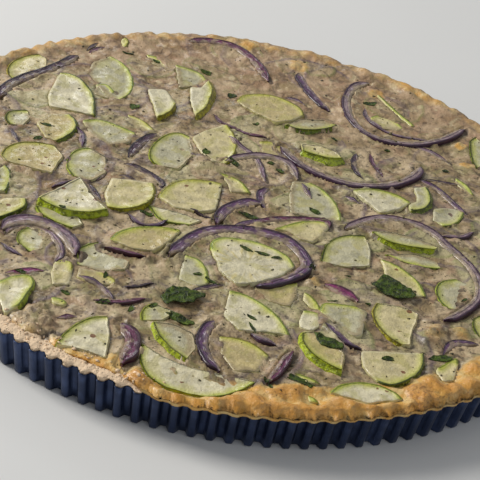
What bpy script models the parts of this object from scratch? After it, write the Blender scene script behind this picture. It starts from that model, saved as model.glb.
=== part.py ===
"""A baked zucchini and red onion tart in its own fluted tin.

Units are millimetres in the tables and metres in the meshes. The tin stands on z = 0 with its
axis on the z axis. +Y points to the back of the tart as it is seen in the picture.
"""

import math

import bmesh
import bpy

MM = 0.001

# Tin
TIN_RADIUS = 150.0
TIN_BASE_RADIUS = 147.0
TIN_HEIGHT = 16.0
TIN_WALL = 0.8
FLUTES = 129
FLUTE_DEPTH = 2.8
FLUTE_STEPS = 4
FLUTE_TURN = math.radians(-118.77)

# Pastry case and custard
GAP = 0.3
CRUST_WALL = 4.0
CRUST_FLOOR = 3.2
CRUST_EDGE = 16.7
CRUST_STEPS = 129
CUSTARD = 17.8
CUSTARD_STEPS = 36

# Toppings
SLICE_THICK = 4.4
SLICE_REACH = 144.4
SLICE_CHAMFER = 0.5
STRIP_DEEP = 2.6
LEAF_THICK = 1.2

# The layout was read on the level plane z = 19 from this eye point, so a point at another
# height is moved along the line of sight to it.
EYE = (2.0, -643.0, 404.0)
READ_PLANE = 19.0


def piece(lift, lean, skin, cut, flare=0.6, thick=SLICE_THICK):
    """One slice: height over the custard, rise per mm along x and y, rind arc and cut corners."""
    return {"lift": lift, "lean": lean, "skin": skin, "cut": cut, "flare": flare, "thick": thick}


SLICES = {
    "zucchini_01": piece(1.0, (0.0, 0.0),
                         [(-109, 91), (-115, 86), (-119, 79), (-120, 71), (-118, 64), (-115, 60)],
                         [(-106, 67), (-103, 79), (-104, 88)]),
    "zucchini_02": piece(1.5, (0.0, 0.0),
                         [(-96, 77), (-91, 77.5), (-85, 74), (-80, 67), (-76, 58), (-73, 42)],
                         [(-94, 43), (-97, 52)]),
    "zucchini_03": piece(2.0, (-0.04, 0.0),
                         [(-39, 68), (-40, 61), (-43, 55), (-46, 52)],
                         [(-54, 77), (-46, 80)]),
    "zucchini_04": piece(1.6, (-0.03, 0.0),
                         [(-45, 107), (-39, 106), (-32, 103), (-28, 98)],
                         [(-31, 89), (-40, 84)]),
    "zucchini_05": piece(2.4, (-0.05, 0.0),
                         [(-27, 98), (-24, 90), (-24, 80), (-25, 70), (-29, 60)],
                         [(-33, 73), (-35, 87), (-30, 88.5)], 2.4),
    "zucchini_06": piece(2.3, (0.0, -0.05),
                         [(-12, 83), (-10, 89), (-4, 93), (3, 95), (11, 93), (18, 88), (21, 81)],
                         [(15, 73), (8, 69), (0, 73), (-8, 78)]),
    "zucchini_07": piece(2.2, (0.0, -0.04),
                         [(12, 68), (19, 66.5), (27, 69), (33, 73), (37, 78)],
                         [(29, 80), (19, 77)], 1.2),
    "zucchini_08": piece(1.3, (0.0, 0.0),
                         [(-14, 58), (-10, 51), (-8, 44), (-7, 37), (-8, 29), (-10, 22)],
                         [(-17, 21.5), (-24, 30), (-28, 40), (-21, 51)]),
    "zucchini_09": piece(0.9, (-0.02, 0.0),
                         [(-29, 40), (-34, 42), (-39, 39), (-43, 31), (-45, 22), (-44, 14), (-40, 9)],
                         [(-30, 10), (-25, 25)]),
    "zucchini_10": piece(1.9, (0.0, -0.03),
                         [(-86, 10), (-94, 9.5), (-101, 6), (-105, 0), (-106, -7)],
                         [(-103, -11), (-82, -14), (-80, 2)]),
    "zucchini_11": piece(1.6, (0.03, 0.0),
                         [(-84, 39.5), (-80, 34), (-79, 27), (-81, 20), (-85, 13)],
                         [(-90, 14.5), (-97, 26), (-93, 36)], 1.6),
    "zucchini_12": piece(1.0, (0.0, 0.0),
                         [(-78, 36), (-72, 39.5), (-64, 38.5), (-53, 34)],
                         [(-54, 24), (-63, 18), (-72, 25)]),
    "zucchini_13": piece(1.2, (0.0, 0.0),
                         [(-71, 13.5), (-76, 9), (-78, 1), (-77, -7), (-73, -13)],
                         [(-65, -14), (-60, -5), (-62, 8)]),
    "zucchini_14": piece(1.5, (0.0, 0.0),
                         [(-39, -6), (-37, -13), (-38, -21), (-43, -28), (-50, -32), (-55, -32)],
                         [(-58, -20), (-57, -8)]),
    "zucchini_15": piece(1.7, (0.0, -0.02),
                         [(-36, -16), (-34, -8), (-30, -1), (-24, 3.5), (-17, 5), (-10, 5)],
                         [(-10.5, -18), (-17, -22), (-28, -22)]),
    "zucchini_16": piece(3.1, (0.0, -0.05),
                         [(-84, -35), (-78, -38.5), (-70, -40.5), (-61, -38.5), (-54, -33.5)],
                         [(-61, -27), (-70, -12), (-78, -26)], 1.0),
    "zucchini_17": piece(2.8, (0.0, -0.04),
                         [(22, 47), (28, 45.5), (35, 45), (41, 47)],
                         [(38, 52), (30, 55), (21, 53)], 3.0),
    "zucchini_18": piece(2.0, (0.0, 0.02),
                         [(46.5, 20.5), (52, 24), (60, 25.5), (67, 24), (73, 20)],
                         [(69, 13), (60, 5.5)]),
    "zucchini_19": piece(2.2, (0.04, 0.0),
                         [(80, 36), (82, 30), (82, 22), (79, 16), (73, 12)],
                         [(72, 17), (76, 22), (74, 33)], 1.8),
    "zucchini_20": piece(1.2, (0.0, 0.0),
                         [(28, 20), (34, 16), (39, 9), (42, 1), (43.5, -8)],
                         [(36, -9.5), (21, -9), (19, 8), (20, 18)]),
    "zucchini_21": piece(1.4, (0.0, 0.0),
                         [(15, -24), (22, -17), (29, -12), (36, -10.5)],
                         [(38, -14), (36, -22), (32, -29), (27, -28), (22, -24)]),
    "zucchini_22": piece(1.4, (0.0, 0.0),
                         [(54, -15), (46, -17.5), (40, -23), (37, -31), (36, -42)],
                         [(47, -43), (57, -38), (57, -26)]),
    "zucchini_23": piece(2.6, (0.0, -0.06),
                         [(56, -10.5), (60, -14.5), (67, -17), (75, -17), (84, -16)],
                         [(86, -13), (76, -9), (65, -8)], 1.2),
    "zucchini_24": piece(1.3, (0.0, 0.0),
                         [(61, -31), (68, -33.5), (74, -38.5), (78.5, -45), (81, -53)],
                         [(74, -55), (64, -45)]),
    "zucchini_25": piece(1.0, (0.0, 0.0),
                         [(93, -35), (87, -39), (84.5, -46), (86, -54), (90, -59)],
                         [(96, -57), (100, -48), (99, -38)]),
    "zucchini_26": piece(1.6, (0.0, -0.01),
                         [(-50, -56), (-48, -50), (-43, -44), (-36, -40.5), (-29, -38.5), (-22.5, -38.5)],
                         [(-26, -49), (-31, -58), (-40, -59.5)]),
    "zucchini_27": piece(2.0, (0.0, -0.02),
                         [(-9, -48), (-9.5, -43), (-6, -38.5), (1, -36.5), (9, -36.5), (17, -39),
                          (23, -43), (26, -49)],
                         [(22, -57), (13, -66), (4, -70.5), (-3, -64)]),
    "zucchini_28": piece(1.8, (0.0, 0.0),
                         [(38, -78), (39, -72), (44, -70), (52, -69.5)],
                         [(57, -72), (56, -88), (53, -91), (46, -86)]),
    "zucchini_29": piece(1.5, (0.0, 0.0),
                         [(60.5, -64), (59, -71), (61, -79), (65.5, -86), (71, -90)],
                         [(75, -89), (76, -78), (78, -66), (72, -63.5)]),
    "zucchini_30": piece(1.5, (0.0, 0.0),
                         [(80.5, -92.5), (80.5, -100), (78, -107.5), (73.5, -113.5), (68, -117.5),
                          (63, -117)],
                         [(57, -110), (56, -99)]),
    "zucchini_31": piece(1.1, (0.0, 0.02),
                         [(45, -129), (49, -123), (55.5, -119.3), (62.5, -118.5), (69, -120.5),
                          (73, -124.5)],
                         [(60, -131)], 0.4, 3.0),
    "zucchini_32": piece(2.4, (0.0, -0.03),
                         [(32, -94), (33, -101), (37, -107), (43, -111.5), (49, -114)],
                         [(50, -103), (44, -95), (36, -92)], 1.8),
    "zucchini_33": piece(0.6, (0.0, 0.05),
                         [(-27, -121), (-26, -131), (-22, -139.5), (-15, -144.5), (-7, -147),
                          (1, -146), (8, -142.5), (14, -137), (18.5, -131)],
                         [(8, -130.5), (-6, -130), (-17, -127)], 0.4, 3.0),
    "zucchini_34": piece(1.6, (0.0, 0.0),
                         [(-86, -99), (-81, -93.5), (-75.5, -91.5), (-72.5, -96), (-73.5, -104),
                          (-75, -113)],
                         [(-79, -119), (-84, -110)]),
    "zucchini_35": piece(1.7, (0.0, 0.0),
                         [(-41.5, -108), (-47.5, -110.5), (-52.5, -117), (-56, -125), (-57.5, -132)],
                         [(-48, -132), (-38, -134.5), (-38.5, -122)]),
    "zucchini_36": piece(2.2, (-0.04, -0.04),
                         [(-25, -106), (-22, -113), (-17, -119.5), (-9, -126)],
                         [(-6, -118), (-9, -108), (-18, -105)], 1.2),
    "zucchini_37": piece(1.4, (0.0, 0.0),
                         [(2, -75.5), (8, -76), (14, -79), (20, -84), (25, -91), (28, -98)],
                         [(17, -99), (8, -101), (1, -93)]),
    "zucchini_38": piece(1.5, (0.0, 0.0),
                         [(-123, 20), (-129, 13), (-131, 4), (-128, -6)],
                         [(-119, -9), (-114, 4), (-116, 17)]),
    "zucchini_39": piece(1.8, (0.0, -0.03),
                         [(-120, -26), (-122, -36), (-117, -45), (-108, -49)],
                         [(-103, -42), (-110, -26)], 1.2),
    "zucchini_40": piece(1.4, (0.0, 0.0),
                         [(121, 48), (128, 42), (132, 33), (131, 23), (126, 16)],
                         [(118, 20), (114, 32), (115, 43)]),
    "zucchini_41": piece(1.9, (0.0, -0.03),
                         [(111, -26), (118, -33), (128, -34), (136, -28)],
                         [(131, -14), (120, -7), (112, -14)], 1.2),
}


def strip(lift, width, path):
    """One onion strip: height over the custard, full width and centre line."""
    return {"lift": lift, "width": width, "path": path}


STRIPS = {
    "onion_01": strip(1.7, 4.5, [(-91, 98), (-95, 90), (-98, 84), (-102, 77), (-108, 70),
                                 (-114, 60), (-117, 51), (-118, 43)]),
    "onion_02": strip(1.7, 4.0, [(-42, 135), (-36, 139), (-27, 140.5), (-19, 139), (-11, 132),
                                 (-4.5, 122), (0.5, 110)]),
    "onion_03": strip(1.5, 4.0, [(50, 128), (43, 121), (40, 110), (40, 98), (43, 87), (49, 78),
                                 (58, 73), (68, 73), (78, 77), (87, 84), (93, 92), (98, 99)]),
    "onion_04": strip(1.9, 4.4, [(12, 48), (17, 41), (24, 34), (33, 29), (43, 26.5), (53, 28),
                                 (63, 32.5), (71, 40), (76, 48), (77, 54)]),
    "onion_05": strip(1.6, 3.6, [(-11, 25), (-5, 31), (2, 35), (10, 36), (17, 33), (22, 22)]),
    "onion_06": strip(1.9, 4.6, [(-9, -27), (-8, -20), (-4, -12), (2, -6), (8, -4)]),
    "onion_07": strip(2.0, 4.8, [(-25, -57), (-21, -49), (-17, -41), (-11, -34), (-3, -29.5),
                                 (6, -28), (14, -28), (22, -31), (28, -38), (31, -46),
                                 (28, -54), (20, -62), (12, -68)]),
    "onion_08": strip(1.9, 3.6, [(45, -12), (50, -6), (56, 0), (62, 3), (69, 4), (77, 2), (84, -3),
                                 (89, -10), (96, -18), (101, -27), (103, -37), (102, -47),
                                 (98, -55), (93, -62), (88, -66)]),
    "onion_09": strip(2.2, 5.0, [(-93, -62), (-90, -55), (-83, -51.5), (-76, -52.5), (-69, -57),
                                 (-64, -63), (-61.5, -71)]),
    "onion_10": strip(1.9, 5.6, [(-36, -110), (-31, -117), (-30, -126), (-32, -135)]),
    "onion_11": strip(1.8, 4.2, [(-2, -97), (-4.5, -105), (-4.5, -114), (-1, -123), (4, -128)]),
    "onion_12": strip(1.9, 3.6, [(30, -107), (27.5, -114), (25, -122), (22, -130)]),
    "onion_13": strip(1.7, 4.0, [(112, 8), (119, 13), (127, 12), (134, 5), (137, -5)]),
}


def leaf(lift, lean, outline):
    """One herb leaf: height over the custard, rise per mm along x and y and its outline."""
    return {"lift": lift, "lean": lean, "outline": outline}


LEAVES = {
    "leaf_01": leaf(2.0, (0.0, 0.0), [(-24, -88), (-21, -81), (-14, -79), (-7, -82), (-10, -85),
                                      (-12, -89), (-17.5, -90.5), (-21, -93)]),
    "leaf_02": leaf(2.6, (0.02, 0.0), [(63, -41), (67, -43), (75, -50), (76, -55), (68, -57),
                                       (61, -54), (58, -51), (61, -46)]),
    "leaf_03": leaf(2.4, (0.0, 0.0), [(37, -93), (45, -94.5), (49, -97.5), (47, -101), (40, -99.5)]),
}

# Pieces sunk in the custard. They are fused with it as low relief.
SUNK_SLICES = [
    piece(0.5, (0.0, 0.0), [(-76, 103), (-69, 98), (-64, 90), (-61, 79), (-61, 69), (-65, 60)],
          [(-74, 66), (-84, 80), (-83, 94)]),
    piece(0.8, (0.0, 0.0), [(-103, 36), (-110, 32), (-111, 25), (-108, 20)], [(-102, 21), (-100, 29)]),
    piece(0.7, (0.0, 0.0), [(-13, 13.5), (-6, 12), (-1, 8), (3, 1)], [(-6, -1), (-8, 6)]),
    piece(0.9, (0.0, 0.0), [(-102, -14), (-99, -18), (-97, -26), (-97, -35)],
          [(-103, -37), (-107, -24)]),
    piece(0.8, (0.0, 0.0), [(97, 20), (95, 13), (91, 7), (88, 4)], [(84, 8), (84, 17), (90, 20)]),
    piece(1.0, (0.0, 0.0), [(103, 93), (100, 87), (100, 78), (101, 68), (103, 62)],
          [(109, 68), (110, 82)]),
    piece(0.6, (0.0, 0.0), [(-53, -63), (-58, -66), (-60, -73), (-59, -79)],
          [(-50, -79), (-41, -72), (-41, -64)]),
    piece(0.8, (0.0, 0.0), [(-19, -60), (-14, -59), (-11, -62), (-9, -67), (-8, -72)],
          [(-16, -73), (-20, -66)]),
    piece(0.8, (0.0, 0.0), [(-26, -94), (-29, -97), (-30, -102), (-29, -107)],
          [(-21, -104), (-17, -97)]),
    piece(0.8, (0.0, 0.0), [(-39, -24), (-32, -34), (-20, -34)], [(-15, -28), (-28, -25)]),
]
SUNK_STRIPS = [
    strip(0.8, 5.0, [(15, 125), (17, 115), (22, 105), (27, 97), (32, 91)]),
    strip(0.9, 4.6, [(-45, 38), (-49, 30), (-52, 22), (-53, 12)]),
    strip(0.9, 3.0, [(4, 29), (6, 21), (8, 14)]),
    strip(0.8, 3.6, [(8, -20), (14, -16.5), (20, -13.5)]),
    strip(0.9, 3.0, [(78, 42), (84, 37), (90, 29), (95, 22)]),
    strip(0.9, 3.4, [(-49, -99), (-41, -98), (-35, -95), (-29, -91)]),
    strip(0.8, 3.2, [(-53, 5), (-47, 4), (-40, 0), (-36, -5)]),
    strip(0.8, 3.4, [(-80, 112), (-84, 107), (-87, 101)]),
]


def placed(x, y, z):
    """Where a point read on the reading plane lies when its height is z."""
    share = (EYE[2] - z) / (EYE[2] - READ_PLANE)
    return (EYE[0] + (x - EYE[0]) * share, EYE[1] + (y - EYE[1]) * share, z)


def inside(x, y, reach):
    """The point itself, or the nearest point on the circle of that reach where it is outside."""
    r = math.hypot(x, y)
    share = min(1.0, reach / max(r, 1.0))
    return x * share, y * share


def unevenness(x, y):
    """A smooth, repeatable unevenness from -1 to 1."""
    a = math.sin(0.083 * x + 1.3) * math.sin(0.071 * y - 0.4)
    b = math.sin(0.19 * x - 0.11 * y + 2.1) * 0.6
    c = math.sin(0.29 * y + 0.17 * x + 0.7) * 0.4
    return (a + b + c) / 2.0


def clear_scene():
    """Empties the startup scene."""
    for obj in list(bpy.data.objects):
        bpy.data.objects.remove(obj, do_unlink=True)


def mesh_object(name, points, faces):
    """Makes an object from points in millimetres, triangulated with its faces pointing out."""
    mesh = bpy.data.meshes.new(name)
    mesh.from_pydata([(x * MM, y * MM, z * MM) for x, y, z in points], [], faces)
    bm = bmesh.new()
    bm.from_mesh(mesh)
    bmesh.ops.triangulate(bm, faces=bm.faces[:])
    bmesh.ops.recalc_face_normals(bm, faces=bm.faces[:])
    bm.to_mesh(mesh)
    bm.free()
    obj = bpy.data.objects.new(name, mesh)
    bpy.context.scene.collection.objects.link(obj)
    return obj


def combine(obj, other, operation):
    """Applies a Boolean of two objects to the first and removes the second."""
    modifier = obj.modifiers.new("combine", "BOOLEAN")
    modifier.operation = operation
    modifier.solver = "MANIFOLD"
    modifier.object = other
    graph = bpy.context.evaluated_depsgraph_get()
    mesh = bpy.data.meshes.new_from_object(obj.evaluated_get(graph))
    obj.modifiers.remove(modifier)
    old = obj.data
    obj.data = mesh
    mesh.name = obj.name
    bpy.data.meshes.remove(old)
    bpy.data.objects.remove(other, do_unlink=True)


def keep_largest(obj):
    """Keeps the body with the most volume where a cut has split the mesh."""
    bm = bmesh.new()
    bm.from_mesh(obj.data)
    left = set(bm.faces)
    bodies = []
    while left:
        stack = [left.pop()]
        body = set(stack)
        while stack:
            for edge in stack.pop().edges:
                for face in edge.link_faces:
                    if face in left:
                        left.remove(face)
                        body.add(face)
                        stack.append(face)
        bodies.append(body)

    def volume(body):
        total = 0.0
        for face in body:
            corners = [loop.vert.co for loop in face.loops]
            for i in range(1, len(corners) - 1):
                total += corners[0].dot(corners[i].cross(corners[i + 1]))
        return total

    bodies.sort(key=volume, reverse=True)
    for body in bodies[1:]:
        bmesh.ops.delete(bm, geom=list(body), context="FACES")
    for vert in [vert for vert in bm.verts if not vert.link_faces]:
        bm.verts.remove(vert)
    bm.to_mesh(obj.data)
    bm.free()


def loft(name, rings, cap_first=True, cap_last=True):
    """Joins rings of equal length with quads and closes both ends."""
    count = len(rings[0])
    points = [point for ring in rings for point in ring]
    faces = []
    for level in range(len(rings) - 1):
        for i in range(count):
            j = (i + 1) % count
            a = level * count
            faces.append((a + i, a + j, a + count + j, a + count + i))
    if cap_first:
        faces.append(tuple(range(count)))
    if cap_last:
        faces.append(tuple((len(rings) - 1) * count + i for i in range(count)))
    return mesh_object(name, points, faces)


def fluted_ring(radius, z):
    """A ring of flutes whose crests reach the radius."""
    ring = []
    total = FLUTES * FLUTE_STEPS
    for i in range(total):
        angle = FLUTE_TURN + 2 * math.pi * (i + 0.5) / total
        crest = 1.0 if i % FLUTE_STEPS in (0, FLUTE_STEPS - 1) else 0.0
        r = radius - FLUTE_DEPTH * (1.0 - crest)
        ring.append((r * math.cos(angle), r * math.sin(angle), z))
    return ring


def build_tin():
    """The pressed tin: fluted wall outside and inside, flat base."""
    slope = (TIN_RADIUS - TIN_BASE_RADIUS) / TIN_HEIGHT
    rings = [
        fluted_ring(TIN_BASE_RADIUS, 0.0),
        fluted_ring(TIN_RADIUS, TIN_HEIGHT),
        fluted_ring(TIN_RADIUS - TIN_WALL, TIN_HEIGHT),
        fluted_ring(TIN_BASE_RADIUS - TIN_WALL + slope * TIN_WALL, TIN_WALL),
    ]
    return loft("tin", rings)


def edge_height(angle):
    """How far the broken edge of the pastry stands above or below its mean height."""
    rough = math.sin(17 * angle + 0.6) + math.sin(41 * angle + 2.0) + 0.8 * math.sin(63 * angle + 4.0)
    return 0.28 * rough


def build_crust():
    """The pastry case: fluted outside, with an uneven edge that stands a little over the tin."""
    slope = (TIN_RADIUS - TIN_BASE_RADIUS) / TIN_HEIGHT
    low = TIN_WALL + GAP
    inset = TIN_WALL + GAP
    bottom = fluted_ring(TIN_BASE_RADIUS - inset + slope * low, low)
    top = []
    for x, y, _ in fluted_ring(TIN_RADIUS - inset, CRUST_EDGE):
        angle = math.atan2(y, x)
        top.append((x, y, CRUST_EDGE + edge_height(angle)))
    points = bottom + top
    total = len(bottom)
    faces = [tuple(range(total))]
    for i in range(total):
        j = (i + 1) % total
        faces.append((i, j, total + j, total + i))

    def ring(radius, height, bump):
        start = len(points)
        for i in range(CRUST_STEPS):
            angle = FLUTE_TURN + 2 * math.pi * i / CRUST_STEPS
            wander = bump * math.sin(23 * angle + 1.0) * math.sin(57 * angle)
            r = radius + 0.5 * wander
            points.append((r * math.cos(angle), r * math.sin(angle), height + wander))
        return start

    crown = ring(TIN_RADIUS - FLUTE_DEPTH - inset - 0.6, 18.2, 0.8)
    lip = ring(TIN_RADIUS - FLUTE_DEPTH - CRUST_WALL, 17.6, 0.0)
    foot = ring(TIN_BASE_RADIUS - FLUTE_DEPTH - CRUST_WALL, low + CRUST_FLOOR, 0.0)
    per = total // CRUST_STEPS
    for i in range(CRUST_STEPS):
        j = (i + 1) % CRUST_STEPS
        middle = i * per + per // 2
        for k in range(i * per, middle):
            faces.append((total + k, total + (k + 1) % total, crown + i))
        faces.append((total + middle % total, crown + j, crown + i))
        for k in range(middle, (i + 1) * per):
            faces.append((total + k % total, total + (k + 1) % total, crown + j))
        for a, b in ((crown, lip), (lip, foot)):
            faces.append((a + i, a + j, b + j, b + i))
    faces.append(tuple(foot + i for i in range(CRUST_STEPS)))
    return mesh_object("crust", points, faces)


def custard_height(x, y):
    """Height of the baked custard, a little raised and lumpy towards its edge."""
    r = math.hypot(x, y)
    edge = min(max((r - 118.0) / 22.0, 0.0), 1.0)
    return CUSTARD + 0.45 * unevenness(x, y) + 0.7 * edge * math.sin(0.31 * x + 0.27 * y) ** 2


def build_custard():
    """The custard as one solid with an uneven top."""
    low = TIN_WALL + GAP + CRUST_FLOOR + GAP
    top_radius = TIN_RADIUS - FLUTE_DEPTH - CRUST_WALL - GAP - 0.05
    foot_radius = TIN_BASE_RADIUS - FLUTE_DEPTH - CRUST_WALL - GAP - 0.05
    points = [(0.0, 0.0, custard_height(0.0, 0.0))]
    faces = []
    rings = (36.0, 72.0, 104.0, 130.0, top_radius)
    for radius in rings:
        for i in range(CUSTARD_STEPS):
            angle = 2 * math.pi * i / CUSTARD_STEPS
            x = radius * math.cos(angle)
            y = radius * math.sin(angle)
            z = custard_height(x, y)
            if radius == top_radius:
                z = 17.5
            points.append((x, y, z))
    for i in range(CUSTARD_STEPS):
        angle = 2 * math.pi * i / CUSTARD_STEPS
        points.append((foot_radius * math.cos(angle), foot_radius * math.sin(angle), low))
    for i in range(CUSTARD_STEPS):
        j = (i + 1) % CUSTARD_STEPS
        faces.append((0, 1 + i, 1 + j))
        for level in range(len(rings)):
            a = 1 + level * CUSTARD_STEPS
            b = a + CUSTARD_STEPS
            faces.append((a + i, b + i, b + j, a + j))
    last = 1 + len(rings) * CUSTARD_STEPS
    faces.append(tuple(last + i for i in range(CUSTARD_STEPS)))
    return mesh_object("custard", points, faces)


def outward(outline, distances):
    """Moves each corner of an outline outwards by its own distance."""
    count = len(outline)
    area = 0.0
    for i in range(count):
        ax, ay = outline[i]
        bx, by = outline[(i + 1) % count]
        area += ax * by - bx * ay
    turn = 1.0 if area > 0 else -1.0
    moved = []
    for i in range(count):
        px, py = outline[i - 1]
        x, y = outline[i]
        nx, ny = outline[(i + 1) % count]
        ax, ay = (y - py) * turn, (px - x) * turn
        bx, by = (ny - y) * turn, (x - nx) * turn
        al = math.hypot(ax, ay)
        bl = math.hypot(bx, by)
        sx, sy = ax / al + bx / bl, ay / al + by / bl
        sl = max(math.hypot(sx, sy), 0.6)
        moved.append((x + distances[i] * sx / sl, y + distances[i] * sy / sl))
    return moved


def build_slice(name, item, grow=0.0):
    """A slice of zucchini. With grow it is the cutter that leaves a gap round the slice."""
    skin = item["skin"]
    flat = skin + item["cut"]
    cx = sum(x for x, _ in flat) / len(flat)
    cy = sum(y for _, y in flat) / len(flat)
    gx, gy = item["lean"]

    def top_of(x, y):
        return CUSTARD + item["lift"] + gx * (x - cx) + gy * (y - cy)

    tops = [placed(x, y, top_of(x, y)) for x, y in flat]
    plan = [(x, y) for x, y, _ in tops]
    edge = outward(plan, [grow * 1.3] * len(plan))
    flares = [item["flare"] if i < len(skin) else 0.3 for i in range(len(plan))]
    foot = outward(plan, [flare + grow * 1.3 for flare in flares])
    edge = [inside(x, y, SLICE_REACH + grow) for x, y in edge]
    foot = [inside(x, y, SLICE_REACH + grow) for x, y in foot]
    high = 9.0 if grow else 0.0
    upper = [(x, y, tops[i][2] + high) for i, (x, y) in enumerate(edge)]
    lower = [(x, y, tops[i][2] - item["thick"] - grow) for i, (x, y) in enumerate(foot)]
    if grow:
        middle = [(x, y, tops[i][2] + 0.1) for i, (x, y) in enumerate(edge)]
        return loft(name, [lower, middle, upper])
    inner = outward(edge, [-SLICE_CHAMFER] * len(edge))
    side = [(x, y, z - SLICE_CHAMFER) for x, y, z in upper]
    crown = [(x, y, upper[i][2]) for i, (x, y) in enumerate(inner)]
    return loft(name, [lower, side, crown])


def tidy(obj):
    """Merges what the cuts have left finer than a few hundredths of a millimetre."""
    bm = bmesh.new()
    bm.from_mesh(obj.data)
    bmesh.ops.remove_doubles(bm, verts=bm.verts[:], dist=0.03 * MM)
    bmesh.ops.dissolve_degenerate(bm, edges=bm.edges[:], dist=0.03 * MM)
    bmesh.ops.dissolve_limit(bm, angle_limit=math.radians(1.5), verts=bm.verts[:], edges=bm.edges[:])
    bmesh.ops.triangulate(bm, faces=bm.faces[:])
    bm.to_mesh(obj.data)
    bm.free()


def build_strip(name, item, grow=0.0):
    """A curved onion strip with narrow ends. With grow it is its cutter."""
    path = [placed(x, y, CUSTARD + item["lift"]) for x, y in item["path"]]
    count = len(path)
    rings = []
    for i, (x, y, z) in enumerate(path):
        ax, ay, _ = path[max(i - 1, 0)]
        bx, by, _ = path[min(i + 1, count - 1)]
        length = math.hypot(bx - ax, by - ay)
        nx, ny = -(by - ay) / length, (bx - ax) / length
        share = 0.5 if i in (0, count - 1) else 1.0
        half = 0.5 * item["width"] * share + grow
        ends = 0.0
        if grow and i == 0:
            ends = -grow
        if grow and i == count - 1:
            ends = grow
        x += ends * (bx - ax) / length
        y += ends * (by - ay) / length
        high = z + 9.0 if grow else z
        low = z - STRIP_DEEP - grow
        narrow = 0.0 if grow else 0.5 * share
        rings.append([
            (x - half * nx, y - half * ny, low),
            (x + half * nx, y + half * ny, low),
            (x + (half - narrow) * nx, y + (half - narrow) * ny, high),
            (x - (half - narrow) * nx, y - (half - narrow) * ny, high - (0.0 if grow else 0.5)),
        ])
    return loft(name, rings)


def build_leaf(name, item, grow=0.0):
    """A thin wavy leaf. Both of its faces are fans from the middle, so they are split alike."""
    outline = item["outline"]
    cx = sum(x for x, _ in outline) / len(outline)
    cy = sum(y for _, y in outline) / len(outline)
    gx, gy = item["lean"]
    rim = []
    for i, (x, y) in enumerate(outline):
        wave = 0.35 if i % 2 else -0.35
        z = CUSTARD + item["lift"] + gx * (x - cx) + gy * (y - cy) + wave
        rim.append(placed(x, y, z))
    plan = outward([(x, y) for x, y, _ in rim], [grow * 1.5] * len(rim))
    middle = placed(cx, cy, CUSTARD + item["lift"] + 0.4)
    high = 9.0 if grow else 0.0
    points = [(x, y, rim[i][2] + high) for i, (x, y) in enumerate(plan)]
    points += [(x, y, rim[i][2] - LEAF_THICK - grow) for i, (x, y) in enumerate(plan)]
    points.append((middle[0], middle[1], middle[2] + high))
    points.append((middle[0], middle[1], middle[2] - LEAF_THICK - grow))
    count = len(plan)
    faces = []
    for i in range(count):
        j = (i + 1) % count
        faces.append((i, j, 2 * count))
        faces.append((count + i, count + j, 2 * count + 1))
        faces.append((i, j, count + j, count + i))
    return mesh_object(name, points, faces)


def close(first, second):
    """Whether the boxes of two objects come within a millimetre of each other."""
    boxes = []
    for obj in (first, second):
        xs = [vert.co.x for vert in obj.data.vertices]
        ys = [vert.co.y for vert in obj.data.vertices]
        boxes.append((min(xs) - MM, max(xs) + MM, min(ys) - MM, max(ys) + MM))
    a, b = boxes
    return a[0] < b[1] and b[0] < a[1] and a[2] < b[3] and b[2] < a[3]


def main():
    """Builds the tart from the tin up."""
    clear_scene()
    build_tin()
    crust = build_crust()
    custard = build_custard()
    for item in SUNK_SLICES:
        combine(custard, build_slice("sunk", item), "UNION")
    for item in SUNK_STRIPS:
        combine(custard, build_strip("sunk", item), "UNION")
    items = []
    for name, item in LEAVES.items():
        items.append((name, item, build_leaf))
    for name, item in STRIPS.items():
        items.append((name, item, build_strip))
    for name, item in sorted(SLICES.items(), key=lambda pair: -pair[1]["lift"]):
        items.append((name, item, build_slice))
    bodies = [build(name, item) for name, item, build in items]
    for i, (name, item, build) in enumerate(items):
        for lower in bodies[i + 1:] + [custard, crust]:
            cutter = build("cutter", item, GAP)
            if close(lower, cutter):
                combine(lower, cutter, "DIFFERENCE")
            else:
                bpy.data.objects.remove(cutter, do_unlink=True)
    for body in bodies + [custard, crust]:
        keep_largest(body)
        tidy(body)


main()
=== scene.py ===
"""Looks of a baked zucchini and red onion tart in its own fluted tin.

The tables are in millimetres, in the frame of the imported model: the tin stands on z = 0 with its
axis on the z axis, and +Y points to the back of the tart as it is seen in the picture.
"""

import logging
import math
from collections.abc import Callable, Sequence
from dataclasses import dataclass, field
from enum import Enum

import bpy
import numpy as np
from mathutils import Matrix, Vector
from mathutils.bvhtree import BVHTree
from mathutils.geometry import delaunay_2d_cdt


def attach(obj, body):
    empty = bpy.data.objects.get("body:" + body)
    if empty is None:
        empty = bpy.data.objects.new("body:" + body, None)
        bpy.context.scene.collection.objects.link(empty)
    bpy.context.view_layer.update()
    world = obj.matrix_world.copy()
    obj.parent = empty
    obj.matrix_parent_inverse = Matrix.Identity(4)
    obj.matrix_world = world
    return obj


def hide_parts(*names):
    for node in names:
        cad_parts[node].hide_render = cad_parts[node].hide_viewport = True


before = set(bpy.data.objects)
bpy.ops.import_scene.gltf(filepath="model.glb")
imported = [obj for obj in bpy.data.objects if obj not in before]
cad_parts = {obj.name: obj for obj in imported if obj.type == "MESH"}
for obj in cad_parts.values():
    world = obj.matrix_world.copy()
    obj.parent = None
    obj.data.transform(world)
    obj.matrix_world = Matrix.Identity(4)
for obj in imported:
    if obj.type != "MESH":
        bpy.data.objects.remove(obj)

Array = np.ndarray
Socket = bpy.types.NodeSocket
Material = bpy.types.Material
Pair = tuple[float, float]
Points2 = Sequence[Pair]
Faces = list[tuple[int, ...]]
Colour = tuple[float, float, float]
Five = tuple[float, float, float, float, float]

MM = 0.001

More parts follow.
